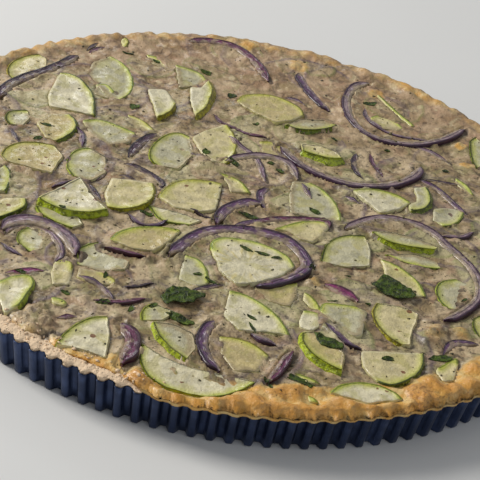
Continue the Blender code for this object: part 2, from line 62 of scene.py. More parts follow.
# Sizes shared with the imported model
TIN_RADIUS = 150.0
TIN_BASE_RADIUS = 147.0
TIN_HEIGHT = 16.0
TIN_WALL = 0.8
TIN_LEAN = (TIN_RADIUS - TIN_BASE_RADIUS) / TIN_HEIGHT
FLUTES = 129
FLUTE_DEPTH = 2.8
FLUTE_TURN = math.radians(-118.77)
CUSTARD = 17.8
SLICE_REACH = 144.4
LARGEST_ROUND = 32.0

# Heights that clear the tart on both sides
ABOVE_ALL = 60.0
BELOW_ALL = -100.0

# Unit vector in plan away from the main light
SHELTER = (0.966, -0.259)

# The layout was read on the level plane z = 19 from this eye point
EYE = (2.0, -643.0, 404.0)
READ_PLANE = 19.0

LOG = logging.getLogger("tart")


def srgb(red: float, green: float, blue: float) -> Colour:
    """Turns a colour of 0 to 255 as seen on a screen into linear light.

    Args:
        red: Red as seen on a screen.
        green: Green as seen on a screen.
        blue: Blue as seen on a screen.

    Returns:
        The three linear values.
    """
    values = []
    for part in (red, green, blue):
        share = part / 255.0
        values.append(share / 12.92 if share <= 0.04045 else ((share + 0.055) / 1.055) ** 2.4)
    return values[0], values[1], values[2]


class Flesh(Enum):
    """Flesh of a slice, from cream that looks newly cut to film-covered green."""

    BRIGHT = srgb(216, 207, 174)
    CREAM = srgb(208, 194, 146)
    BUFF = srgb(192, 174, 122)
    PALE = srgb(186, 180, 148)


class Peel(Enum):
    """Rind of a slice."""

    OLIVE = srgb(156, 148, 30)
    DARK = srgb(90, 106, 14)
    GREEN = srgb(146, 160, 26)
    LIGHT = srgb(156, 174, 62)


class Hue(Enum):
    """Kinds of onion strip: outer edge, face and inner edge."""

    DUSK = (srgb(52, 14, 48), srgb(94, 58, 96), srgb(142, 116, 122))
    LILAC = (srgb(66, 26, 60), srgb(136, 108, 120), srgb(164, 144, 126))
    PEARL = (srgb(68, 28, 62), srgb(148, 126, 128), srgb(166, 148, 122))
    WINE = (srgb(70, 14, 44), srgb(104, 40, 76), srgb(126, 88, 92))
    MAGENTA = (srgb(92, 18, 64), srgb(136, 44, 100), srgb(146, 98, 112))
    INK = (srgb(38, 12, 32), srgb(66, 36, 58), srgb(104, 80, 76))


# The kinds by their bare names, for the tables below
BRIGHT, CREAM, BUFF, PALE = Flesh
OLIVE, DARK, GREEN, LIGHT = Peel
DUSK, LILAC, PEARL, WINE, MAGENTA, INK = Hue


@dataclass
class Cut:
    """One slice of zucchini: rind arc, cut corners, height over the custard and its looks."""

    name: str
    lift: float
    skin: Points2
    cut: Points2
    flesh: Flesh = Flesh.CREAM
    peel: Peel = Peel.GREEN
    veil: float = 0.1
    spots: Sequence[tuple[float, float, float]] = ()
    lean: Pair = (0.0, 0.0)
    flare: float = 0.6
    thick: float = 4.4
    seeds: float = 0.3


@dataclass
class Strip:
    """One onion strip: height over the custard, width, centre line and hue."""

    name: str
    lift: float
    width: float
    path: Points2
    hue: Hue = Hue.DUSK


@dataclass
class Leaf:
    """One herb leaf: height over the custard and outline."""

    name: str
    lift: float
    outline: Points2


SLICES: tuple[Cut, ...] = (
    Cut('01', 1, ((-109, 91), (-115, 86), (-119, 79), (-120, 71), (-118, 64), (-115, 60)), ((-106, 67),
        (-103, 79), (-104, 88)), CREAM, OLIVE, 0.15),
    Cut('02', 1.5, ((-96, 77), (-91, 77.5), (-85, 74), (-80, 67), (-76, 58), (-73, 42)), ((-94, 43),
        (-97, 52)), BRIGHT, DARK, 0.05),
    Cut('03', 2, ((-39, 68), (-40, 61), (-43, 55), (-46, 52)), ((-54, 77), (-46, 80)), BRIGHT, OLIVE, 0,
        lean=(-0.04, 0)),
    Cut('04', 1.6, ((-45, 107), (-39, 106), (-32, 103), (-28, 98)), ((-31, 89), (-40, 84)), PALE, LIGHT,
        0.5, lean=(-0.03, 0)),
    Cut('05', 2.4, ((-27, 98), (-24, 90), (-24, 80), (-25, 70), (-29, 60)), ((-33, 73), (-35, 87),
        (-30, 88.5)), BRIGHT, OLIVE, 0, lean=(-0.05, 0), flare=2.4),
    Cut('06', 2.3, ((-12, 83), (-10, 89), (-4, 93), (3, 95), (11, 93), (18, 88), (21, 81)), ((15, 73),
        (8, 69), (0, 73), (-8, 78)), BUFF, OLIVE, 0.1, lean=(0, -0.05)),
    Cut('07', 2.2, ((12, 68), (19, 66.5), (27, 69), (33, 73), (37, 78)), ((29, 80), (19, 77)), PALE, DARK,
        0.7, lean=(0, -0.04), flare=1.2),
    Cut('08', 1.3, ((-14, 58), (-10, 51), (-8, 44), (-7, 37), (-8, 29), (-10, 22)), ((-17, 21.5), (-24, 30),
        (-28, 40), (-21, 51)), CREAM, OLIVE, 0.1),
    Cut('09', 0.9, ((-29, 40), (-34, 42), (-39, 39), (-43, 31), (-45, 22), (-44, 14), (-40, 9)), ((-30, 10),
        (-25, 25)), PALE, GREEN, 0.35, lean=(-0.02, 0)),
    Cut('10', 1.9, ((-86, 10), (-94, 9.5), (-101, 6), (-105, 0), (-106, -7)), ((-103, -11), (-82, -14),
        (-80, 2)), BUFF, OLIVE, 0.1, ((-87, -2, 0.9), (-84.5, -5, 0.6), (-87.5, -7.5, 1)), lean=(0, -0.03)),
    Cut('11', 1.6, ((-84, 39.5), (-80, 34), (-79, 27), (-81, 20), (-85, 13)), ((-90, 14.5), (-97, 26),
        (-93, 36)), BUFF, DARK, 0.3, lean=(0.03, 0), flare=1.6),
    Cut('12', 1, ((-78, 36), (-72, 39.5), (-64, 38.5), (-53, 34)), ((-54, 24), (-63, 18), (-72, 25)), PALE,
        LIGHT, 0.5),
    Cut('13', 1.2, ((-71, 13.5), (-76, 9), (-78, 1), (-77, -7), (-73, -13)), ((-65, -14), (-60, -5),
        (-62, 8)), PALE, LIGHT, 0.4, ((-66, -2, 1),)),
    Cut('14', 1.5, ((-39, -6), (-37, -13), (-38, -21), (-43, -28), (-50, -32), (-55, -32)), ((-58, -20),
        (-57, -8)), CREAM, OLIVE, 0.1),
    Cut('15', 1.7, ((-36, -16), (-34, -8), (-30, -1), (-24, 3.5), (-17, 5), (-10, 5)), ((-10.5, -18),
        (-17, -22), (-28, -22)), CREAM, OLIVE, 0.05, ((-25, -3, 1.2),), lean=(0, -0.02)),
    Cut('16', 3.1, ((-84, -35), (-78, -38.5), (-70, -40.5), (-61, -38.5), (-54, -33.5)), ((-61, -27),
        (-70, -12), (-78, -26)), BRIGHT, GREEN, 0, ((-75, -24, 1.3), (-60.5, -28, 1.5)), lean=(0, -0.05),
        flare=1),
    Cut('17', 2.8, ((22, 47), (28, 45.5), (35, 45), (41, 47)), ((38, 52), (30, 55), (21, 53)), CREAM, GREEN,
        0.2, lean=(0, -0.04), flare=3),
    Cut('18', 2, ((46.5, 20.5), (52, 24), (60, 25.5), (67, 24), (73, 20)), ((69, 13), (60, 5.5)), BRIGHT,
        GREEN, 0, lean=(0, 0.02)),
    Cut('19', 2.2, ((80, 36), (82, 30), (82, 22), (79, 16), (73, 12)), ((72, 17), (76, 22), (74, 33)), PALE,
        DARK, 0.1, lean=(0.04, 0), flare=1.8),
    Cut('20', 1.2, ((28, 20), (34, 16), (39, 9), (42, 1), (43.5, -8)), ((36, -9.5), (21, -9), (19, 8),
        (20, 18)), PALE, LIGHT, 0.45),
    Cut('21', 1.4, ((15, -24), (22, -17), (29, -12), (36, -10.5)), ((38, -14), (36, -22), (32, -29),
        (27, -28), (22, -24)), CREAM, GREEN, 0.3),
    Cut('22', 1.4, ((54, -15), (46, -17.5), (40, -23), (37, -31), (36, -42)), ((47, -43), (57, -38),
        (57, -26)), PALE, DARK, 0.15),
    Cut('23', 2.6, ((56, -10.5), (60, -14.5), (67, -17), (75, -17), (84, -16)), ((86, -13), (76, -9),
        (65, -8)), PALE, GREEN, 0.5, lean=(0, -0.06), flare=1.2),
    Cut('24', 1.3, ((61, -31), (68, -33.5), (74, -38.5), (78.5, -45), (81, -53)), ((74, -55), (64, -45)),
        CREAM, LIGHT, 0.05, ((68, -37, 1.1),)),
    Cut('25', 1, ((93, -35), (87, -39), (84.5, -46), (86, -54), (90, -59)), ((96, -57), (100, -48),
        (99, -38)), PALE, LIGHT, 0.15),
    Cut('26', 1.6, ((-50, -56), (-48, -50), (-43, -44), (-36, -40.5), (-29, -38.5), (-22.5, -38.5)),
        ((-26, -49), (-31, -58), (-40, -59.5)), BUFF, GREEN, 0.1, lean=(0, -0.01)),
    Cut('27', 2, ((-9, -48), (-9.5, -43), (-6, -38.5), (1, -36.5), (9, -36.5), (17, -39), (23, -43),
        (26, -49)), ((22, -57), (13, -66), (4, -70.5), (-3, -64)), BRIGHT, LIGHT, 0.1, lean=(0, -0.02),
        seeds=1),
    Cut('28', 1.8, ((38, -78), (39, -72), (44, -70), (52, -69.5)), ((57, -72), (56, -88), (53, -91),
        (46, -86)), PALE, GREEN, 0.4),
    Cut('29', 1.5, ((60.5, -64), (59, -71), (61, -79), (65.5, -86), (71, -90)), ((75, -89), (76, -78),
        (78, -66), (72, -63.5)), CREAM, OLIVE, 0.05, ((74, -66, 1.6), (70, -81, 0.8))),
    Cut('30', 1.5, ((80.5, -92.5), (80.5, -100), (78, -107.5), (73.5, -113.5), (68, -117.5), (63, -117)),
        ((57, -110), (56, -99)), CREAM, DARK, 0.1, ((72.5, -107.5, 1.2),)),
    Cut('31', 1.1, ((45, -129), (49, -123), (55.5, -119.3), (62.5, -118.5), (69, -120.5), (73, -124.5)),
        ((60, -131),), BRIGHT, GREEN, 0, ((63, -121, 0.8), (66.5, -121.5, 0.8)), lean=(0, 0.02), flare=0.4,
        thick=3),
    Cut('32', 2.4, ((32, -94), (33, -101), (37, -107), (43, -111.5), (49, -114)), ((50, -103), (44, -95),
        (36, -92)), BUFF, GREEN, 0.35, lean=(0, -0.03), flare=1.8),
    Cut('33', 0.6, ((-27, -121), (-26, -131), (-22, -139.5), (-15, -144.5), (-7, -147), (1, -146),
        (8, -142.5), (14, -137), (18.5, -131)), ((8, -130.5), (-6, -130), (-17, -127)), BRIGHT, GREEN, 0.1,
        ((-9, -140, 0.8),), lean=(0, 0.05), flare=0.4, thick=3),
    Cut('34', 1.6, ((-86, -99), (-81, -93.5), (-75.5, -91.5), (-72.5, -96), (-73.5, -104), (-75, -113)),
        ((-79, -119), (-84, -110)), BRIGHT, LIGHT, 0.05),
    Cut('35', 1.7, ((-41.5, -108), (-47.5, -110.5), (-52.5, -117), (-56, -125), (-57.5, -132)),
        ((-48, -132), (-38, -134.5), (-38.5, -122)), BRIGHT, GREEN, 0, ((-45, -122.5, 1.5),)),
    Cut('36', 2.2, ((-25, -106), (-22, -113), (-17, -119.5), (-9, -126)), ((-6, -118), (-9, -108),
        (-18, -105)), PALE, GREEN, 0.65, lean=(-0.04, -0.04), flare=1.2),
    Cut('37', 1.4, ((2, -75.5), (8, -76), (14, -79), (20, -84), (25, -91), (28, -98)), ((17, -99),
        (8, -101), (1, -93)), BRIGHT, LIGHT, 0.1),
    Cut('38', 1.5, ((-123, 20), (-129, 13), (-131, 4), (-128, -6)), ((-119, -9), (-114, 4), (-116, 17)),
        CREAM, LIGHT, 0.3),
    Cut('39', 1.8, ((-120, -26), (-122, -36), (-117, -45), (-108, -49)), ((-103, -42), (-110, -26)), BUFF,
        OLIVE, 0.3, lean=(0, -0.03), flare=1.2),
    Cut('40', 1.4, ((121, 48), (128, 42), (132, 33), (131, 23), (126, 16)), ((118, 20), (114, 32),
        (115, 43)), PALE, LIGHT, 0.4),
    Cut('41', 1.9, ((111, -26), (118, -33), (128, -34), (136, -28)), ((131, -14), (120, -7), (112, -14)),
        CREAM, GREEN, 0.3, lean=(0, -0.03), flare=1.2),
)

STRIPS = tuple(Strip(*row) for row in (
    ('01', 1.7, 4.5, ((-91, 98), (-95, 90), (-98, 84), (-102, 77), (-108, 70), (-114, 60), (-117, 51),
        (-118, 43)), INK),
    ('02', 1.7, 4, ((-42, 135), (-36, 139), (-27, 140.5), (-19, 139), (-11, 132), (-4.5, 122),
        (0.5, 110)), WINE),
    ('03', 1.5, 4, ((50, 128), (43, 121), (40, 110), (40, 98), (43, 87), (49, 78), (58, 73), (68, 73),
        (78, 77), (87, 84), (93, 92), (98, 99)), PEARL),
    ('04', 1.9, 4.4, ((12, 48), (17, 41), (24, 34), (33, 29), (43, 26.5), (53, 28), (63, 32.5),
        (71, 40), (76, 48), (77, 54)), PEARL),
    ('05', 1.6, 3.6, ((-11, 25), (-5, 31), (2, 35), (10, 36), (17, 33), (22, 22)), PEARL),
    ('06', 1.9, 4.6, ((-9, -27), (-8, -20), (-4, -12), (2, -6), (8, -4))),
    ('07', 2, 4.8, ((-25, -57), (-21, -49), (-17, -41), (-11, -34), (-3, -29.5), (6, -28), (14, -28),
        (22, -31), (28, -38), (31, -46), (28, -54), (20, -62), (12, -68))),
    ('08', 1.9, 3.6, ((45, -12), (50, -6), (56, 0), (62, 3), (69, 4), (77, 2), (84, -3), (89, -10),
        (96, -18), (101, -27), (103, -37), (102, -47), (98, -55), (93, -62), (88, -66)), PEARL),
    ('09', 2.2, 5, ((-93, -62), (-90, -55), (-83, -51.5), (-76, -52.5), (-69, -57), (-64, -63),
        (-61.5, -71)), LILAC),
    ('10', 1.9, 5.6, ((-36, -110), (-31, -117), (-30, -126), (-32, -135)), WINE),
    ('11', 1.8, 4.2, ((-2, -97), (-4.5, -105), (-4.5, -114), (-1, -123), (4, -128))),
    ('12', 1.9, 3.6, ((30, -107), (27.5, -114), (25, -122), (22, -130)), WINE),
    ('13', 1.7, 4, ((112, 8), (119, 13), (127, 12), (134, 5), (137, -5)), PEARL),
))

LEAVES: tuple[Leaf, ...] = (
    Leaf('01', 2, ((-24, -88), (-21, -81), (-14, -79), (-7, -82), (-10, -85), (-12, -89), (-19, -90),
        (-21, -93))),
    Leaf('02', 2.6, ((63, -41), (67, -43), (75, -50), (76, -55), (68, -57), (61, -54), (58, -51),
        (61, -46))),
    Leaf('03', 2.4, ((37, -93), (45, -94.5), (49, -97.5), (47, -101), (40, -99.5))),
)

# Slices that lie sunk in the custard, and smaller chunks
SUNK: tuple[Cut, ...] = (
    Cut('a', 0.5, ((-76, 103), (-69, 98), (-64, 90), (-61, 79), (-61, 69), (-65, 60)), ((-74, 66),
        (-84, 80), (-83, 94)), PALE, LIGHT, 0.5),
    Cut('b', 0.8, ((-103, 36), (-110, 32), (-111, 25), (-108, 20)), ((-102, 21), (-100, 29)), PALE, DARK,
        0.3),
    Cut('c', 0.7, ((-13, 13.5), (-6, 12), (-1, 8), (3, 1)), ((-6, -1), (-8, 6)), CREAM, GREEN, 0.4),
    Cut('d', 0.9, ((-102, -14), (-99, -18), (-97, -26), (-97, -35)), ((-103, -37), (-107, -24)), PALE, DARK,
        0.2),
    Cut('e', 0.8, ((97.5, 22), (96, 14), (92, 7), (88, 4.5)), ((83, 8), (83, 18), (90, 21)), PALE, LIGHT,
        0.2),
    Cut('f', 1, ((103, 93), (100, 87), (100, 78), (101, 68), (103, 62)), ((109, 68), (110, 82)), PALE, DARK,
        0.2),
    Cut('g', 0.6, ((-51, -58), (-57, -61), (-61, -68), (-60, -78)), ((-50, -80), (-40, -75), (-39, -62)),
        PALE, LIGHT, 0.35),
    Cut('h', 0.8, ((-19, -56), (-13, -57.5), (-9, -63), (-6.5, -73)), ((-11, -77), (-19, -75)), PALE, LIGHT,
        0.15),
    Cut('i', 0.8, ((-26, -94), (-29, -97), (-30, -102), (-29, -107)), ((-21, -104), (-17, -97)), PALE,
        GREEN, 0.2),
    Cut('j', 0.8, ((-39, -24), (-32, -34), (-20, -34)), ((-15, -28), (-28, -25)), BRIGHT, LIGHT, 0.05),
    Cut('k', 0.6, ((2, 48), (10, 51), (15, 45)), ((17, 39), (14, 36), (4, 38)), BUFF, OLIVE, 0.3),
    Cut('l', 0.5, ((93, 50), (99, 44), (102, 36)), ((98, 38), (93, 44)), PALE, LIGHT, 0.6),
    Cut('m', 0.6, ((62, -27), (70, -30.5), (79, -31.5), (88, -30)), ((86, -24), (74, -22)), PALE, LIGHT,
        0.6),
    Cut('n', 0.8, ((12, -67), (18, -66), (24, -63), (28, -60.5)), ((29, -70), (26, -79), (18, -78),
        (11, -72)), BUFF, OLIVE, 0.45),
    Cut('o', 1.2, ((32, -79), (38, -79)), ((39, -88), (36, -92.5), (31, -91), (31, -84)), BRIGHT, LIGHT, 0),
    Cut('p', 0.9, ((86, -100), (93, -91.5), (94, -95)), ((92, -107), (88, -109), (85, -103)), CREAM, GREEN,
        0.2),
    Cut('q', 1.1, ((104, -58), (100, -62), (100, -69), (102, -75)), ((112, -74), (113, -62)), CREAM, DARK,
        0.2),
    Cut('r', 1.2, ((-68, -77), (-62, -76.5), (-60, -81)), ((-60, -93), (-66, -95), (-68, -86)), CREAM,
        OLIVE, 0.2),
    Cut('s', 1, ((-48, -80), (-43, -83), (-42, -87)), ((-50, -89), (-58, -86), (-58, -80)), BUFF, OLIVE,
        0.3),
    Cut('t', 1, ((1, -107), (8, -106), (15, -108), (21, -113)), ((18, -125), (9, -127), (3, -118)), BUFF,
        OLIVE, 0.4),
    Cut('u', 0.9, ((31, -121), (37, -122), (42, -125)), ((36, -125.5),)),
    Cut('v', 0.9, ((37, -133), (40, -134), (42, -137)), ((38, -137),)),
    Cut('w', 0.9, ((-83, -58), (-86, -63), (-85, -70), (-79, -76)), ((-74, -72), (-75, -62)), PALE, LIGHT,
        0.3),
    Cut('x', 1.4, ((-84, -41), (-80, -47), (-73, -51), (-66, -53)), ((-62, -48), (-66, -42)), PALE, LIGHT,
        0.2),
    Cut('y', 1.8, ((-88, -37), (-87, -43), (-90, -49), (-94, -54), (-97, -57)), ((-101, -50), (-97, -40)),
        CREAM, DARK, 0.1, ((-94, -45, 1.3),)),
    Cut('z', 0.5, ((-60, 50), (-52, 47), (-45, 40)), ((-47, 36), (-56, 40)), CREAM, OLIVE, 0.5),
    Cut('aa', 0.5, ((-78, 72), (-73, 74), (-68, 68)), ((-70, 60), (-77, 62)), PALE, LIGHT, 0.5),
    Cut('ab', 0.7, ((-73, 127), (-70, 122), (-70, 115)), ((-72, 113), (-74, 121)), CREAM, OLIVE, 0.2),
    Cut('ac', 0.6, ((-60, 112), (-54, 111), (-49, 106)), ((-48, 100), (-56, 103)), CREAM, LIGHT, 0.5),
    Cut('ad', 0.8, ((55, 117), (61, 108.5), (67, 100), (73.5, 92)), ((72, 90), (65, 98.5), (59, 107),
        (54, 115)), CREAM, LIGHT, 0.1),
    Cut('ae', 0.5, ((52, 92), (56, 96), (63, 94), (68, 88)), ((66, 83), (57, 82), (52, 86)), CREAM, LIGHT,
        0.55),
    Cut('ag', 1, ((-65, -103), (-61, -102.5), (-58, -104.5)), ((-59, -107.5), (-63, -107)), CREAM, LIGHT,
        0.1),
    Cut('af', 0.8, ((31, -66), (34, -68), (37, -72), (39, -78)), ((34, -77), (31, -72))),
)

# Onion slivers that lie half sunk in the custard
SLIVERS = tuple(Strip(*row) for row in (
    ('a', 0.8, 4.6, ((15, 125), (17, 115), (22, 105), (27, 97), (32, 91))),
    ('b', 0.9, 4.2, ((-44, 38), (-48, 30), (-51, 22), (-53, 12)), INK),
    ('c', 0.9, 2.6, ((-12, 47), (-7, 41), (0, 35), (4, 28), (6, 20), (8, 14)), LILAC),
    ('d', 0.8, 3, ((8, -20), (14, -16.5), (20, -13.5), (31, -10.5), (37, -10), (38, -15)), WINE),
    ('e', 0.9, 2.6, ((76, 42), (84, 37), (90, 29), (95, 22), (98, 19))),
    ('f', 0.9, 2.8, ((-49, -99), (-41, -98), (-35, -95), (-29, -91)), WINE),
    ('g', 0.8, 3, ((-54, 6), (-47, 4), (-40, 0), (-36, -4), (-36, -9)), INK),
    ('h', 0.8, 3, ((-80, 112), (-84, 107), (-87, 101)), WINE),
    ('i', 0.7, 2.4, ((49, 101), (50, 93), (55, 85), (62, 80), (72, 79), (82, 80)), LILAC),
    ('j', 0.7, 2.4, ((73, 72), (82, 69), (90, 62)), LILAC),
    ('k', 0.9, 2.8, ((47, 55), (46, 45), (48, 37), (51, 33)), INK),
    ('l', 1.2, 2.2, ((53, 57), (55, 48), (60, 38)), WINE),
    ('m', 0.7, 1.6, ((77, 42), (86, 43), (95, 44)), INK),
    ('n', 0.9, 2.4, ((-21, 66), (-17, 60), (-10, 56), (-4, 53), (5, 54)), WINE),
    ('o', 0.7, 2, ((10, 96), (15, 95), (20, 92))),
    ('p', 0.8, 3.4, ((10, 9), (7, 3), (8, -4), (10, -8))),
    ('q', 0.7, 2, ((-21, -22), (-15, -24), (-10, -25)), INK),
    ('r', 0.7, 2.2, ((-2, -27), (6, -21), (14, -16), (23, -12.5))),
    ('s', 0.8, 3, ((86, -3), (96, 0), (101, 6)), LILAC),
    ('t', 1, 3, ((-91, -66), (-89, -60), (-82, -56), (-75, -58), (-70, -64), (-67, -72), (-68, -80)),
        LILAC),
    ('u', 0.9, 2.6, ((-91, -72), (-86, -76), (-80, -79))),
    ('v', 1.2, 3, ((-85, -92), (-78, -89), (-71, -86)), MAGENTA),
    ('w', 2, 2.8, ((41, -84), (46, -90), (51, -95), (56, -97))),
    ('x', 0.7, 2, ((-40, -87), (-34, -84), (-28, -80)), INK),
    ('y', 2.1, 2.2, ((-51, -61), (-43, -62), (-34, -62)), WINE),
    ('z', 0.7, 2.4, ((-13, -80), (-7, -76), (-1, -72)), INK),
    ('aa', 1.3, 5.2, ((39, -57.5), (46, -60), (53, -64.5)), MAGENTA),
    ('ab', 0.8, 3, ((88, -90), (92, -82), (102, -79))),
    ('ac', 0.9, 2.2, ((-57, -86), (-50, -88), (-44, -93), (-41, -97))),
    ('ad', 1.5, 5, ((13, -101), (18, -103), (23, -104.5)), LILAC),
    ('ae', 0.6, 4, ((44, 15), (50, 11))),
    ('af', 0.6, 2.2, ((-46, -33), (-40, -39), (-33, -38), (-29, -33))),
    ('ag', 0.7, 2, ((-107, 17), (-101, 7)), INK),
    ('ah', 0.7, 2.4, ((-80, 28), (-76, 24), (-74, 14))),
    ('ai', 0.7, 2.2, ((-80, -24), (-73, -16))),
    ('aj', 0.8, 2.4, ((-66, -16), (-58, -28)), INK),
    ('ak', 0.7, 2.2, ((-63, -12), (-60, -5))),
    ('al', 0.7, 2, ((-55, -4), (-47, -5)), INK),
    ('am', 0.7, 2, ((-84, 115), (-88, 104)), INK),
    ('an', 0.8, 3.4, ((-60, -115), (-53, -112)), WINE),
    ('ao', 0.9, 2.6, ((24, 17), (27, 11), (29, 6))),
))

# Torn bits of herb: centre, length, width and turn in degrees
SCRAPS: tuple[Five, ...] = (
    (-15, -102, 11, 6, -20), (34, -127.5, 12, 6, -28), (87, -95, 10, 4.5, 20), (51, 104, 6.5, 4.5, 10),
    (-29.5, 103.5, 5, 4, 0), (-15, 85, 4.5, 5, 70), (-20.5, 27, 4, 4.5, 60), (-7, 22, 6, 3.5, -50),
    (9, 28, 3, 3, 0), (13.5, 23, 4, 2.5, -40), (4, -18.5, 8, 4, -10), (-92, 23, 5, 2.6, 0),
    (-93.5, 11.5, 4, 2.5, 30), (-57.5, 57, 4, 6, 80), (-68.5, 107.5, 5, 2.5, 0), (-54, 105, 4, 2.5, -20),
    (-38.5, -32, 6, 3, 0), (31, -5.5, 5.5, 3.5, -30), (12, -93, 4.2, 2, -35), (13, -99, 6, 1.8, -62),
    (66, -103, 4.5, 3, 10), (5, -46, 6, 2.6, -25), (12, -47.5, 6, 2.4, -10), (18, -49, 4, 2, 15),
    (22, -132, 6, 1.6, -55), (57, -68, 3, 1.6, 40), (43, -71, 4, 1.2, 0), (-26, -97, 4, 2, 50),
    (-45, -101, 5, 3, 20), (-34, -102, 4, 2.4, 70), (-60, -99, 4, 2.4, -10), (-6, -73, 6, 1.8, -28),
    (-12, -70, 3, 2, 20), (-79, -92, 4, 2, 0), (48, -50, 3, 1.5, 30), (33, -50, 4, 2.4, 60),
    (-1, 62, 3, 1.6, 20), (36, 62, 3, 1.8, -30), (61, 62, 2.6, 1.8, 0), (88, 52, 3, 2.4, 0),
    (-103, -27, 4, 2, 70), (-72, -45, 3, 2, 0), (-47, -83, 3, 2.4, 80), (96, -52, 3, 1.6, 50),
)

# Toasted patches of the custard: centre, radius and strength
TOASTED: tuple[tuple[float, float, float, float], ...] = (
    (54, 118, 7, 0.6), (-13, 143, 9, 0.7), (96, 81, 5, 0.7), (99, 64, 5, 0.7), (84, -78, 9, 0.45),
    (34, -57, 5, 0.6), (17, -71, 8, 0.35), (-62, -6, 4, 0.3), (-45, -75, 6, 0.3), (-66, -115, 12, 0.2),
    (-97, -93, 8, 0.4),
    (-22, -101, 4, 0.6), (-4, -88, 5, 0.25), (45, -51, 6, 0.35), (-36, -135, 7, 0.8), (61, -105, 5, 0.5),
    (22, 53, 5, 0.3), (-52, 60, 6, 0.25), (40, 40, 6, 0.2), (-24, 78, 5, 0.3), (-88, -25, 7, 0.3),
    (14, 132, 9, 0.5), (-50, 128, 8, 0.4), (95, -74, 6, 0.5), (28, -116, 5, 0.3), (9, -135, 6, 0.6),
    (-78, -83, 5, 0.2), (60, -12, 5, 0.2), (108, 40, 8, 0.4), (118, 10, 8, 0.35), (110, -50, 8, 0.35),
)

# Hollows of the filling at the open edge, with painted shade in them: centre, half sizes and depth
HOLLOWS: tuple[Five, ...] = (
    (-79, -122, 4, 4.5, 2.6), (-63, -128, 5, 2.8, 1.7), (-58.5, -124.5, 3, 2.4, 2.0),
    (-73, -108, 2.2, 5, 2.0),
    (-97, -84, 4, 3, 1.6), (-72, -131, 3, 2.4, 1.8),
)

# Crumbly lumps of browned filling: centre, half sizes and height
RUBBLE: tuple[Five, ...] = (
    (-66.5, -116, 8.5, 10, 1.7), (-50, -100, 7, 4, 0.9), (85, -78, 8, 9, 1.0), (35, -57, 6, 5, 1.1),
    (-97, -93, 7, 5, 1.1), (-80, -100, 4, 6, 0.8), (-30, -98, 4, 3, 0.7), (46, -51, 5, 4, 0.8),
    (-58, -140, 6, 3, 0.6),
)


class Value:
    """A number socket whose arithmetic adds Math nodes to its material."""

    def __init__(self, paint: "Paint", socket: Socket) -> None:
        """Keeps the material and the socket."""
        self.paint = paint
        self.socket = socket

    def math(self, operation: str, first: object, second: object) -> "Value":
        """Adds one Math node."""
        made = self.paint.node("ShaderNodeMath", {"operation": operation}, {0: first, 1: second})
        return Value(self.paint, made.outputs[0])

    @staticmethod
    def operator(operation: str, reflected: bool = False) -> Callable[["Value", object], "Value"]:
        """Makes the method of one operator.

        Args:
            operation: The Math node's operation.
            reflected: Whether the value stands on the right of the other.

        Returns:
            The method.
        """

        def method(value: "Value", other: object) -> "Value":
            """Joins the value and another by the operation."""
            pair = (other, value) if reflected else (value, other)
            return value.math(operation, *pair)

        return method

    __add__ = operator("ADD")
    __radd__ = operator("ADD", True)
    __sub__ = operator("SUBTRACT")
    __rsub__ = operator("SUBTRACT", True)
    __mul__ = operator("MULTIPLY")
    __rmul__ = operator("MULTIPLY", True)
    most = operator("MAXIMUM")


